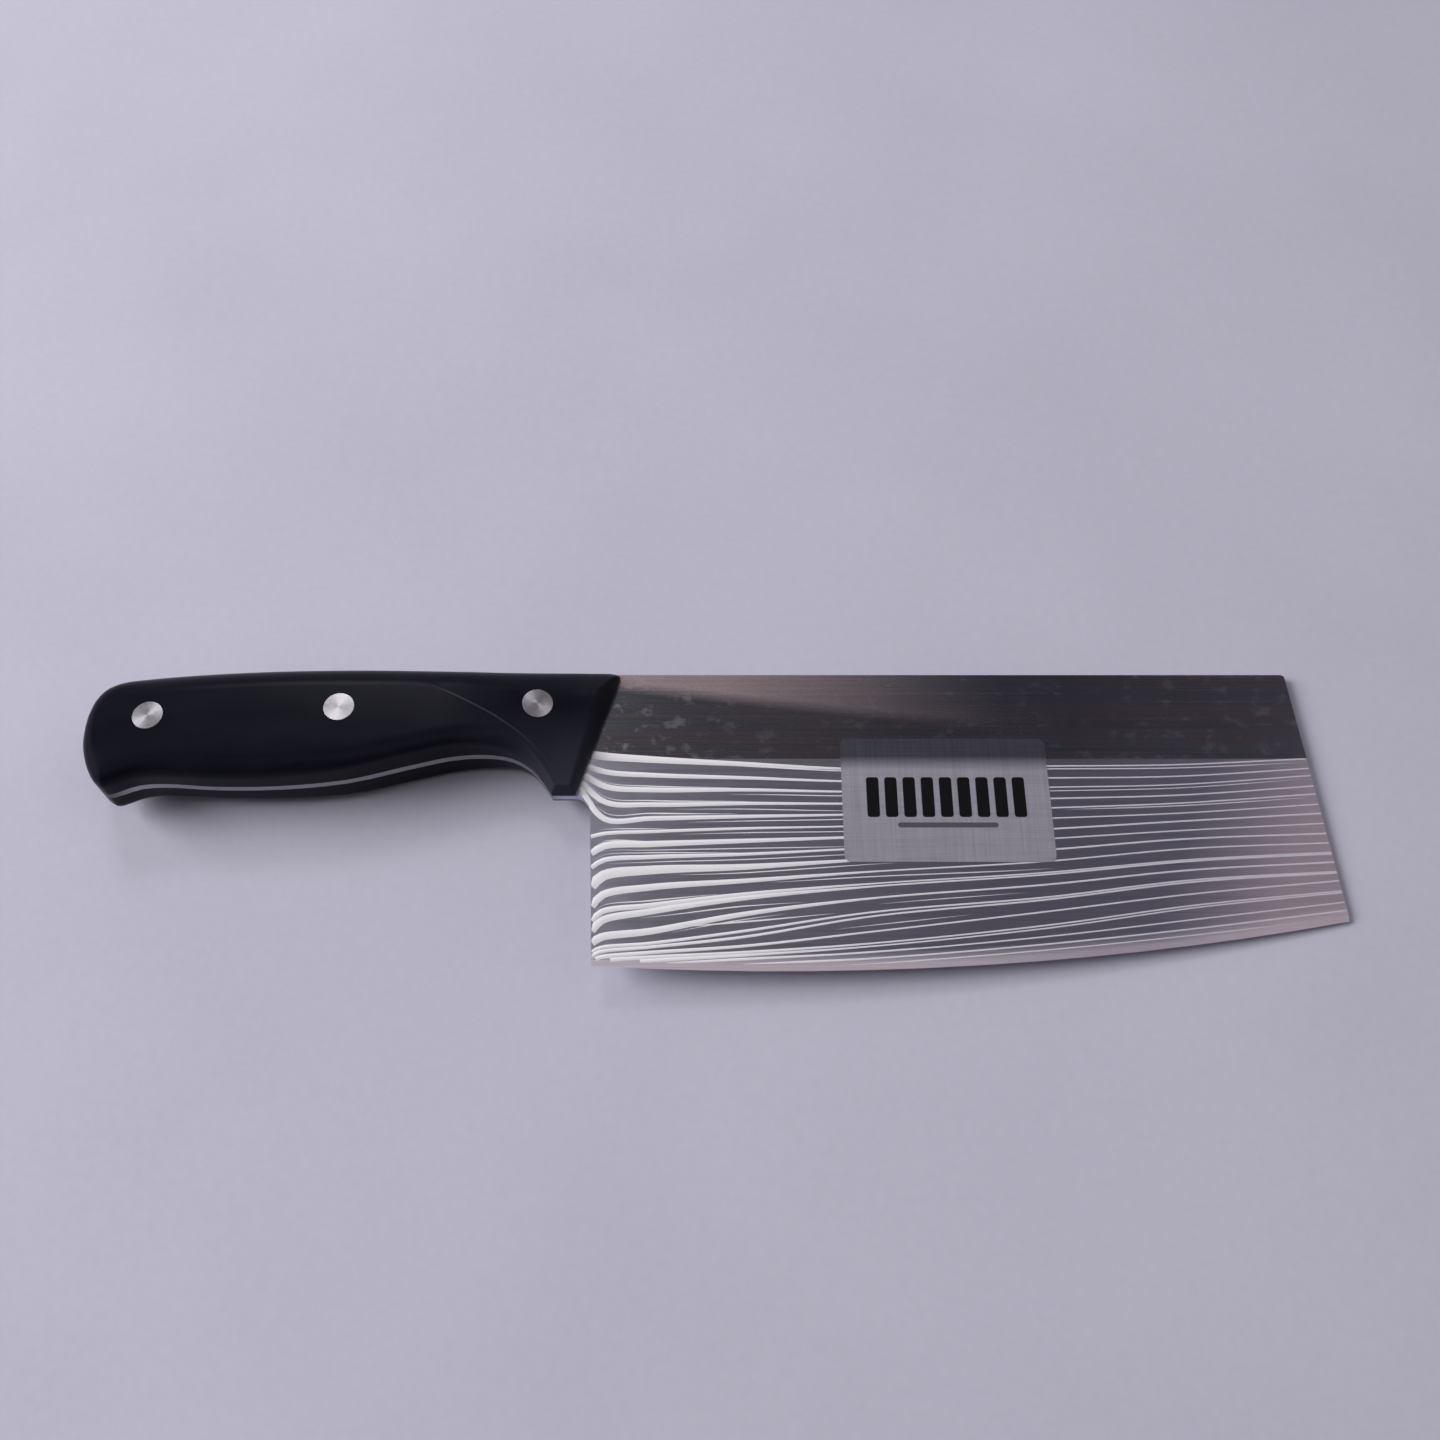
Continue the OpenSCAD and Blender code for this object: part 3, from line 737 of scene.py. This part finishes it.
class Finish:
    """A material and short calls for its nodes."""

    def __init__(self, name):
        self.material = bpy.data.materials.new(name)
        self.material.use_nodes = True
        self.tree = self.material.node_tree
        self.shader = self.tree.nodes["Principled BSDF"]

    def node(self, kind, **settings):
        made = self.tree.nodes.new(kind)
        for name, value in settings.items():
            setattr(made, name, value)
        return made

    def link(self, output, target):
        self.tree.links.new(output, target)

    def set(self, **values):
        """Gives the shader's sockets numbers or outputs, by their names."""
        for name, value in values.items():
            feed(self.tree, self.shader.inputs[name.replace("_", " ")], value)

    def millimetres(self):
        """The object's own coordinates in millimetres."""
        place = self.node("ShaderNodeTexCoord").outputs["Object"]
        scaled = self.node("ShaderNodeVectorMath", operation="SCALE")
        scaled.inputs["Scale"].default_value = 1 / MM
        self.link(place, scaled.inputs[0])
        return scaled.outputs["Vector"]

    def parts(self, vector):
        made = self.node("ShaderNodeSeparateXYZ")
        self.link(vector, made.inputs["Vector"])
        return made.outputs

    def drawing_place(self, place):
        """X and drop in the drawing frame, from the object's own coordinates in millimetres."""
        x, y, _ = self.parts(place)
        return self.math("SUBTRACT", x, ORIGIN_X), self.math("SUBTRACT", ORIGIN_Y, y)

    def noise(self, place, along, across, detail, roughness):
        """Noise with one scale along X and another across it, in waves for each millimetre."""
        stretched = self.node("ShaderNodeVectorMath", operation="MULTIPLY")
        stretched.inputs[1].default_value = (along, across, across)
        self.link(place, stretched.inputs[0])
        made = self.node("ShaderNodeTexNoise")
        made.inputs["Scale"].default_value = 1.0
        made.inputs["Detail"].default_value = detail
        made.inputs["Roughness"].default_value = roughness
        self.link(stretched.outputs["Vector"], made.inputs["Vector"])
        return made.outputs["Fac"]

    def spread(self, value, low, high, to_low, to_high):
        return map_range(self.tree, value, low, high, to_low, to_high)

    def vary(self, noise, low, high, reach=NOISE_REACH):
        """A number from low to high by a noise."""
        return self.spread(noise, *reach, low, high)

    def blend(self, share, a, b, blend_type="MIX"):
        return colour_mix(self.tree, share, a, b, blend_type)

    def tone(self, noise, dark, light, reach=NOISE_REACH):
        """A colour from dark to light by a noise."""
        return self.blend(self.vary(noise, 0, 1, reach), dark, light)

    def math(self, operation, a, b=0.0):
        return node_math(self.tree, operation, a, b)

    def total(self, first, *others):
        for other in others:
            first = self.math("ADD", first, other)
        return first

    def product(self, first, *others):
        for other in others:
            first = self.math("MULTIPLY", first, other)
        return first

    def bump(self, height, distance_mm, strength):
        made = self.node("ShaderNodeBump")
        made.inputs["Strength"].default_value = strength
        made.inputs["Distance"].default_value = distance_mm * MM
        self.link(height, made.inputs["Height"])
        self.set(Normal=made.outputs["Normal"])

    def brushed_along_x(self):
        """Highlights of brushing along X: the tangent lies across it in the surface."""
        across = self.node("ShaderNodeVectorMath", operation="CROSS_PRODUCT")
        across.inputs[1].default_value = BRUSHING_WAY
        self.link(self.node("ShaderNodeNewGeometry").outputs["Normal"], across.inputs[0])
        self.set(Tangent=across.outputs["Vector"])


# The way of the brushing: along X, but never quite along a face's normal
BRUSHING_WAY = (1.0, 0.02, 0.03)

# Zones of the blade's colour, most of them painted reflection and shade. Each fade has the two places
# along X between which its zone changes, in millimetres, and each band the same below the spine or
# above the cutting edge.
GRIND_SOFT = 0.2
STREAK_REACH = (0.42, 0.6)
# Pale strip of painted reflection under the spine: the drop of its lower side at X = 0 and its slope,
# and half its soft side
STRIP_DROP = 3.5
STRIP_SLOPE = 0.12
STRIP_SOFT = 1.7
STRIP_FADE = (25, 95)
# Shade toward the front end of the part above the grind line
SHADE_FADE = (100, 160)
SHADE_SHARE = 0.35
# Grey smudges, most of them near the guard
MARK_REACH = (0.55, 0.68)
MARK_SHARE = 0.8
MARK_FADE = (-12, 40)
MARK_FRONT_SHARE = 0.2
# Painted reflection on the ground face: from the heel to the middle, the slanting zone at the tip, the
# band along the edge
GROUND_FADE = (40, 110)
TIP_LEAN = 0.45
TIP_FADE = (155, 182)
EDGE_BAND = (1.2, 4.5)
EDGE_FADE = (60, 160)
EDGE_FRONT_SHARE = 0.4
# Tang: where it begins behind the blade, and where it gets dark at the butt
TANG_FADE = (-16, -13)
BUTT_FADE = (-125, -117)

# Colours of the blade above the grind line, below it and on the tang. Above the line the streaks follow
# the brushing, but their dark, warm and cool tones are a painted reflection of a dark room; the zones
# below it are painted reflection too.
COOL_STEEL = (0.25, 0.275, 0.335)
WARM_STEEL = (0.3, 0.275, 0.31)
SHADED_STEEL = (0.12, 0.11, 0.13)
STRIP_REFLECTION = (1.0, 0.84, 0.86)
MARK_STEEL = (0.8, 0.83, 0.88)
HEEL_REFLECTION = (0.67, 0.68, 0.79)
MIDDLE_REFLECTION = (0.49, 0.5, 0.63)
TIP_REFLECTION = (0.74, 0.65, 0.72)
EDGE_REFLECTION = (1.0, 0.9, 0.97)
TANG_STEEL = (0.4, 0.395, 0.42)
BUTT_STEEL = (0.02, 0.02, 0.022)

# How much less than metal the painted reflections are, which keeps them pale where they mirror a dark room
EDGE_SATIN = 0.4
TIP_SATIN = 0.17
STRIP_SATIN = 0.1


def strip_share(f, x, drop):
    """Share of the pale strip of painted reflection under the spine, which gets wider along X and fades
    out.
    """
    lower_side = f.total(f.product(x, STRIP_SLOPE), STRIP_DROP)
    inside = f.math("SUBTRACT", lower_side, drop)
    return f.product(f.spread(inside, -STRIP_SOFT, STRIP_SOFT, 0, 1), f.spread(x, *STRIP_FADE, 1, 0))


def edge_share(f, x, drop):
    """Share of the pale band of painted reflection along the cutting edge, which is taken as a parabola."""
    off_lowest = f.math("POWER", f.math("SUBTRACT", x, EDGE_LOW_X), 2.0)
    edge_drop = f.math("SUBTRACT", BLADE_H, f.math("DIVIDE", off_lowest, 2 * EDGE_R))
    above_edge = f.math("SUBTRACT", edge_drop, drop)
    return f.product(f.spread(above_edge, *EDGE_BAND, 1, 0), f.spread(x, *EDGE_FADE, 1, EDGE_FRONT_SHARE))


def blade_finish():
    """Brushed along the blade above the grind line, matt and paler below it; most colours are painted
    reflection.
    """
    f = Finish("blade_steel")
    place = f.millimetres()
    x, drop = f.drawing_place(place)
    grain = f.noise(place, along=0.012, across=3.2, detail=6.0, roughness=0.62)
    streaks = f.noise(place, along=0.006, across=0.16, detail=3.0, roughness=0.55)
    stains = f.noise(place, along=0.03, across=0.05, detail=2.0, roughness=0.5)
    smears = f.noise(place, along=0.22, across=0.3, detail=4.0, roughness=0.6)

    ground = f.spread(drop, GRIND_DROP - GRIND_SOFT, GRIND_DROP + GRIND_SOFT, 0, 1)
    strip = strip_share(f, x, drop)
    smudges = f.spread(smears, *MARK_REACH, 0, MARK_SHARE)
    marks = f.product(smudges, f.spread(x, *MARK_FADE, 1, MARK_FRONT_SHARE))
    # Painted reflection: a pale zone slanting across the tip
    toward_tip = f.spread(f.total(x, f.product(drop, TIP_LEAN)), *TIP_FADE, 0, 1)
    near_edge = edge_share(f, x, drop)

    # Above the grind line: brushing streaks in the tones of a painted reflection, painted shade toward the
    # front, a pale strip of painted reflection under the spine, and real grey smudges
    upper = f.tone(streaks, COOL_STEEL, WARM_STEEL, STREAK_REACH)
    upper = f.blend(f.spread(x, *SHADE_FADE, 0, SHADE_SHARE), upper, SHADED_STEEL)
    upper = f.blend(strip, upper, STRIP_REFLECTION)
    upper = f.blend(marks, upper, MARK_STEEL)
    # Below the grind line all zones are painted reflection: paler at the heel, pale toward the tip and
    # along the edge
    lower = f.blend(f.spread(x, *GROUND_FADE, 0, 1), HEEL_REFLECTION, MIDDLE_REFLECTION)
    lower = f.blend(toward_tip, lower, TIP_REFLECTION)
    lower = f.blend(near_edge, lower, EDGE_REFLECTION)
    brushing = f.tone(grain, dark=(0.78, 0.78, 0.8), light=(1.0, 1.0, 1.0))
    faces = f.blend(1.0, f.blend(ground, upper, lower), brushing, "MULTIPLY")
    tang = f.blend(f.spread(x, *BUTT_FADE, 0, 1), BUTT_STEEL, TANG_STEEL)
    colour = f.blend(f.spread(x, *TANG_FADE, 1, 0), faces, tang)

    # Less metal in the painted reflections keeps them pale
    lower_satin = f.total(f.product(near_edge, EDGE_SATIN), f.product(toward_tip, TIP_SATIN))
    upper_satin = f.product(f.math("SUBTRACT", 1.0, ground), strip, STRIP_SATIN)
    satin = f.total(f.product(ground, lower_satin), upper_satin)

    # Roughness by the grind line, and what wear, stains and smudges add
    plain = f.spread(ground, 0, 1, 0.25, 0.33)
    worn = f.vary(grain, -0.04, 0.04)
    stained = f.vary(stains, -0.02, 0.03, MEAN_REACH)
    smeared = f.product(marks, 0.12)
    f.set(
        Base_Color=colour, Metallic=f.math("SUBTRACT", 1.0, satin), Anisotropic=0.86,
        Roughness=f.total(plain, worn, stained, smeared),
    )
    f.bump(grain, distance_mm=0.004, strength=0.6)
    f.brushed_along_x()
    return f.material


# Painted glint: the etched lines are painted paler near the heel, where they catch the light, and get
# darker between these places along X
GLINT_FADE = (30, 140)


def line_finish():
    """White etching: partly diffuse, so that it stays pale from all sides, with a painted glint near the
    heel.
    """
    f = Finish("etched_lines")
    place = f.millimetres()
    x, _ = f.drawing_place(place)
    grain = f.noise(place, along=0.4, across=2.4, detail=4.0, roughness=0.6)
    # Painted glint: white near the heel, darker toward the tip
    near_heel = f.tone(grain, dark=(0.96, 0.955, 1.0), light=(1.0, 0.99, 1.0))
    near_tip = f.tone(grain, dark=(0.63, 0.6, 0.67), light=(0.73, 0.7, 0.77))
    colour = f.blend(f.spread(x, *GLINT_FADE, 0, 1), near_heel, near_tip)
    f.set(Base_Color=colour, Metallic=0.35, Roughness=f.vary(grain, 0.46, 0.54))
    f.bump(grain, distance_mm=0.004, strength=0.5)
    return f.material


# Painted highlight along the guard's ridge, where its step catches the light: its X by the powers of its
# distance above a drop, from the cube down, half its width, how much wider it gets along X as the ridge
# turns, and the drops between which it begins and ends
RIDGE_FOOT = 32.0
RIDGE_BENDS = (0.00052, -0.0647, 0.062, -15.6)
RIDGE_LINE = 0.4
RIDGE_TURN = 0.06
RIDGE_BEGINS = (6, 9)
RIDGE_ENDS = (18, 29)


def painted_ridge_highlight(f, x, drop):
    """Share of the painted highlight on the guard's ridge, which fades out at its ends."""
    above = f.math("SUBTRACT", RIDGE_FOOT, drop)
    course = RIDGE_BENDS[0]
    for bend in RIDGE_BENDS[1:]:
        course = f.total(f.product(above, course), bend)
    off = f.math("ABSOLUTE", f.math("SUBTRACT", x, course))
    off = f.math("DIVIDE", off, f.total(f.product(above, RIDGE_TURN), 1.0))
    ends = f.product(f.spread(drop, *RIDGE_BEGINS, 0, 1), f.spread(drop, *RIDGE_ENDS, 1, 0))
    return f.product(ends, f.spread(off, RIDGE_LINE / 4, RIDGE_LINE, 1, 0))


# Painted sheen on the guard, lighter toward its lower part, where it faces the light: the places along X
# and the drops between which it gets lighter
SHEEN_FADE = (-40, -22)
SHEEN_BAND = (12, 32)
SHEEN_LEAST_SHARE = 0.05


def plastic_finish():
    f = Finish("handle_plastic")
    place = f.millimetres()
    x, drop = f.drawing_place(place)
    fine = f.noise(place, along=3.0, across=3.0, detail=3.0, roughness=0.6)
    clouds = f.noise(place, along=0.05, across=0.12, detail=3.0, roughness=0.55)
    colour = f.tone(clouds, dark=(0.0052, 0.0053, 0.0102), light=(0.0074, 0.0075, 0.014))
    # Painted sheen on the guard's lower part
    painted_sheen = f.product(f.spread(x, *SHEEN_FADE, 0, 1), f.spread(drop, *SHEEN_BAND, SHEEN_LEAST_SHARE, 1))
    colour = f.blend(painted_sheen, colour, (0.028, 0.029, 0.042))
    # Painted highlight along the ridge's step
    colour = f.blend(painted_ridge_highlight(f, x, drop), colour, (0.042, 0.044, 0.058))
    roughness = f.total(f.vary(clouds, 0.28, 0.34), f.vary(fine, -0.03, 0.03))
    f.set(Base_Color=colour, Roughness=roughness, Specular_IOR_Level=0.07)
    f.bump(fine, distance_mm=0.012, strength=0.5)
    return f.material


# Turning marks of a rivet's head: radians for each of its widths
RING_TURNS = 150.0


def rivet_finish():
    """Turned faces: rings round the middle of each head, with highlights across them."""
    f = Finish("rivet_steel")
    x, y, _ = f.parts(f.node("ShaderNodeTexCoord").outputs["Generated"])
    off_x, off_y = [f.math("POWER", f.math("SUBTRACT", way, 0.5), 2.0) for way in (x, y)]
    rings = f.math("SINE", f.product(f.math("SQRT", f.total(off_x, off_y)), RING_TURNS))
    uneven = f.noise(f.millimetres(), along=1.2, across=1.2, detail=3.0, roughness=0.6)
    colour = f.tone(uneven, dark=(0.6, 0.58, 0.62), light=(0.74, 0.72, 0.76))
    roughness = f.total(f.vary(uneven, 0.36, 0.44), f.spread(rings, -1, 1, -0.03, 0.03))
    tangent = f.node("ShaderNodeTangent", direction_type="RADIAL", axis="Z").outputs["Tangent"]
    f.set(Base_Color=colour, Roughness=roughness, Tangent=tangent)
    f.set(Metallic=1.0, Anisotropic=0.6, Anisotropic_Rotation=0.25)
    f.bump(rings, distance_mm=0.003, strength=0.4)
    return f.material


# The label's foil is painted dark above its fold over the grind line and pale below, a painted reflection:
# drops from that line
FOLD_BEGINS = -0.6
FOLD_ENDS = 3.2


def foil_finish():
    """Foil with a fine weave of scratches both ways, painted dark above its fold and pale below as a
    reflection.
    """
    f = Finish("label_foil")
    place = f.millimetres()
    _, drop = f.drawing_place(place)
    across = f.noise(place, along=2.4, across=0.05, detail=4.0, roughness=0.6)
    along = f.noise(place, along=0.05, across=2.4, detail=4.0, roughness=0.6)
    weave = f.product(f.total(across, along), 0.5)
    # Painted reflection: dark above the fold, pale below it
    upper = f.tone(weave, (0.075, 0.075, 0.096), (0.115, 0.115, 0.142), MEAN_REACH)
    lower = f.tone(weave, (0.49, 0.475, 0.555), (0.63, 0.615, 0.705), MEAN_REACH)
    fold = f.spread(drop, GRIND_DROP + FOLD_BEGINS, GRIND_DROP + FOLD_ENDS, 0, 1)
    roughness = f.vary(weave, 0.4, 0.5, MEAN_REACH)
    f.set(Base_Color=f.blend(fold, upper, lower), Metallic=0.75, Roughness=roughness)
    f.bump(weave, distance_mm=0.005, strength=0.5)
    return f.material


def ink_finish(name, dark, light):
    f = Finish(name)
    mottle = f.noise(f.millimetres(), along=2.5, across=2.5, detail=4.0, roughness=0.6)
    roughness = f.vary(mottle, 0.42, 0.55)
    f.set(Base_Color=f.tone(mottle, dark, light), Roughness=roughness, Specular_IOR_Level=0.15)
    f.bump(mottle, distance_mm=0.004, strength=0.4)
    return f.material


def floor_finish():
    """Pale paper with fibres and faint clouds."""
    f = Finish("floor_paper")
    place = f.millimetres()
    fibres = f.noise(place, along=0.45, across=0.45, detail=5.0, roughness=0.6)
    clouds = f.noise(place, along=0.012, across=0.012, detail=2.0, roughness=0.5)
    grain = f.tone(fibres, dark=(0.5, 0.492, 0.585), light=(0.545, 0.537, 0.635))
    dim = f.tone(clouds, dark=(0.485, 0.478, 0.57), light=(0.545, 0.537, 0.635))
    f.set(Base_Color=f.blend(0.5, grain, dim), Roughness=0.85, Specular_IOR_Level=0.15)
    f.bump(fibres, distance_mm=0.05, strength=0.35)
    return f.material


def paint(piece, material):
    """Gives a piece this one material."""
    slots = piece.data.materials
    slots.clear()
    slots.append(material)


def floor_slope():
    """Slope of a floor that touches the handle's belly and the blade's front end, and its height there."""
    tip_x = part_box("blade")[1][0]
    tip_z = (ORIGIN_Z - CHEEK) * MM
    places = [vertex.co for vertex in bpy.data.objects["plain_side_grip"].data.vertices]
    slope = max((tip_z - place.z) / (tip_x - place.x) for place in places)
    return slope, tip_x, tip_z


# Half the side of the floor, in metres
FLOOR_HALF = 1.6


def make_floor():
    slope, tip_x, tip_z = floor_slope()
    ends = (-FLOOR_HALF, FLOOR_HALF)
    points = [(x, y, tip_z + (x - tip_x) * slope) for y in ends for x in ends]
    mesh = bpy.data.meshes.new("floor")
    mesh.from_pydata(points, [], [(0, 1, 3, 2)])
    floor = new_object("floor", mesh)
    paint(floor, floor_finish())


# Camera of the photograph: its place in millimetres in the drawing frame, its tilt below the horizon
# in degrees, its lens and sensor in millimetres, and the metres between which it sees
CAMERA_X = 24.4
CAMERA_Y = -184.55
CAMERA_Z = 324.0
CAMERA_TILT = 62.0
CAMERA_LENS = 37.0
CAMERA_SENSOR = 36.0
CAMERA_NEAR = 0.01
CAMERA_FAR = 20.0


def make_camera():
    data = bpy.data.cameras.new("camera")
    data.lens = CAMERA_LENS
    data.sensor_width = CAMERA_SENSOR
    data.clip_start = CAMERA_NEAR
    data.clip_end = CAMERA_FAR
    camera = new_object("camera", data)
    camera.location = row(CAMERA_X, CAMERA_Y, CAMERA_Z)
    camera.rotation_euler = (math.radians(90 - CAMERA_TILT), 0, 0)
    bpy.context.scene.camera = camera


# Lamps: a name, the direction from the part, the distance and diameter in metres, the power in
# watts, and whether surfaces mirror it. The window stands on the left, where the steel mirrors the
# pale wall in its place. The gap in the curtain behind the table makes the lines glint.
LAMPS = [
    ("window", (-0.82, 0.12, 0.5), 2.0, 1.38, 39.5, False),
    ("curtain_gap", (-0.27, 0.66, 0.7), 1.3, 0.3, 2.2, True),
]
LAMP_COLOUR = (1.0, 0.985, 1.0)


def make_lamps():
    for name, way, distance, size, power, mirrored in LAMPS:
        data = bpy.data.lights.new(name, "AREA")
        data.shape = "DISK"
        data.size = size
        data.energy = power
        data.color = LAMP_COLOUR
        lamp = new_object(name, data)
        lamp.visible_camera = False
        lamp.visible_glossy = mirrored
        towards = Vector(way).normalized()
        lamp.location = towards * distance
        lamp.rotation_euler = towards.to_track_quat("Z", "Y").to_euler()


# Room round the table. Overhead it is dark and goes from left to right, by the X part of the
# direction; the walls are lighter.
CEILING = [
    (-1.0, (0.1, 0.1, 0.11)), (-0.1, (0.06, 0.06, 0.065)), (0.06, (0.05, 0.05, 0.055)),
    (0.17, (0.065, 0.062, 0.075)), (0.25, (0.09, 0.075, 0.085)), (0.31, (0.13, 0.11, 0.12)),
    (1.0, (0.2, 0.19, 0.21)),
]
# Walls: the axis of the direction along which one begins, where it begins and is full, its colour
WALLS = [
    ("X", -0.45, -0.7, (0.9, 0.89, 0.92)), ("X", 0.5, 0.7, (0.6, 0.59, 0.63)),
    ("Y", 0.78, 0.92, (0.45, 0.44, 0.5)),
]
# Pale patches overhead: middle and half size by the X and Y parts of the direction, colour; and the
# share of the size over which they fade out
PATCHES = [
    ((0.5, 0.2), (0.13, 0.17), (0.5, 0.45, 0.5)),
    ((0.1, -0.2), (0.42, 0.09), (0.95, 0.86, 0.92)),
    ((-0.02, 0.55), (0.13, 0.05), (0.42, 0.34, 0.34)),
]
PATCH_SOFT = 0.3
# Behind the camera the room is dark: the share of its light there, and where it is full again
FRONT_SHARE = 0.4
FRONT_FROM = -0.5
FRONT_TO = -0.05
# Low round the table the walls are pale: where this begins and is full by the Z part, and the colour
LOW_FROM = 0.3
LOW_FULL = 0.1
LOW_COLOUR = (0.4, 0.39, 0.465)


def smooth_step(tree, value, begins, full, low=0.0):
    return map_range(tree, value, begins, full, low, 1.0, "SMOOTHSTEP")


def ceiling_ramp(tree, along):
    """Colours of the ceiling by the X part of the direction."""
    place = node_math(tree, "MULTIPLY", node_math(tree, "ADD", along, 1.0), 0.5)
    ramp = tree.nodes.new("ShaderNodeValToRGB")
    tree.links.new(place, ramp.inputs["Fac"])
    stops = ramp.color_ramp.elements
    for stop, (x, colour) in zip((stops[0], stops[1]), (CEILING[0], CEILING[-1])):
        stop.position = (x + 1) / 2
        stop.color = (*colour, 1)
    for x, colour in CEILING[1:-1]:
        stops.new((x + 1) / 2).color = (*colour, 1)
    return ramp.outputs["Color"]


def patch_share(tree, way, middles, halves):
    """Share of a pale patch overhead: one within it, fading out at its sides."""
    reaches = []
    for axis, middle, half in zip("XY", middles, halves):
        off = node_math(tree, "ABSOLUTE", node_math(tree, "SUBTRACT", way[axis], middle))
        reaches.append(node_math(tree, "DIVIDE", off, half))
    return smooth_step(tree, node_math(tree, "MAXIMUM", *reaches), 1 + PATCH_SOFT, 1 - PATCH_SOFT)


def make_world():
    world = bpy.data.worlds.new("room")
    world.use_nodes = True
    tree = world.node_tree
    place = tree.nodes.new("ShaderNodeTexCoord")
    parts = tree.nodes.new("ShaderNodeSeparateXYZ")
    tree.links.new(place.outputs["Generated"], parts.inputs["Vector"])
    way = parts.outputs
    room = ceiling_ramp(tree, way["X"])
    for axis, begins, full, colour in WALLS:
        room = colour_mix(tree, smooth_step(tree, way[axis], begins, full), room, colour)
    for middles, halves, colour in PATCHES:
        room = colour_mix(tree, patch_share(tree, way, middles, halves), room, colour)
    front = smooth_step(tree, way["Y"], FRONT_FROM, FRONT_TO, FRONT_SHARE)
    room = colour_mix(tree, 1.0, room, front, "MULTIPLY")
    room = colour_mix(tree, smooth_step(tree, way["Z"], LOW_FROM, LOW_FULL), room, LOW_COLOUR)
    feed(tree, tree.nodes["Background"].inputs["Color"], room)
    bpy.context.scene.world = world


# Pieces
BODY = "root"
steel = blade_finish()
etched = line_finish()
plastic = plastic_finish()
rivets = rivet_finish()
foil = foil_finish()
black_ink = ink_finish("label_ink", (0.003, 0.003, 0.004), (0.007, 0.007, 0.009))
grey_ink = ink_finish("label_grey_ink", (0.07, 0.068, 0.08), (0.1, 0.097, 0.11))

for side, name in ((1, "label_side"), (-1, "plain_side")):
    scale = grip(name + "_grip", side)
    paint(scale, plastic)
    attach(scale, BODY)
    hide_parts(name + "_scale")
    lines = etched_lines(name + "_etched_lines", side)
    paint(lines, etched)
    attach(lines, BODY)

for piece, ink in ((label_bars("label_bars"), black_ink), (label_rule("label_rule"), grey_ink)):
    paint(piece, ink)
    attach(piece, BODY)

paint(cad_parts["blade"], steel)
paint(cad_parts["label"], foil)
for place in ("butt", "middle", "guard"):
    for half in ("socket", "pin"):
        paint(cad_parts[place + "_rivet_" + half], rivets)

make_floor()
make_camera()
make_lamps()
make_world()
bpy.context.scene.view_settings.view_transform = "Standard"
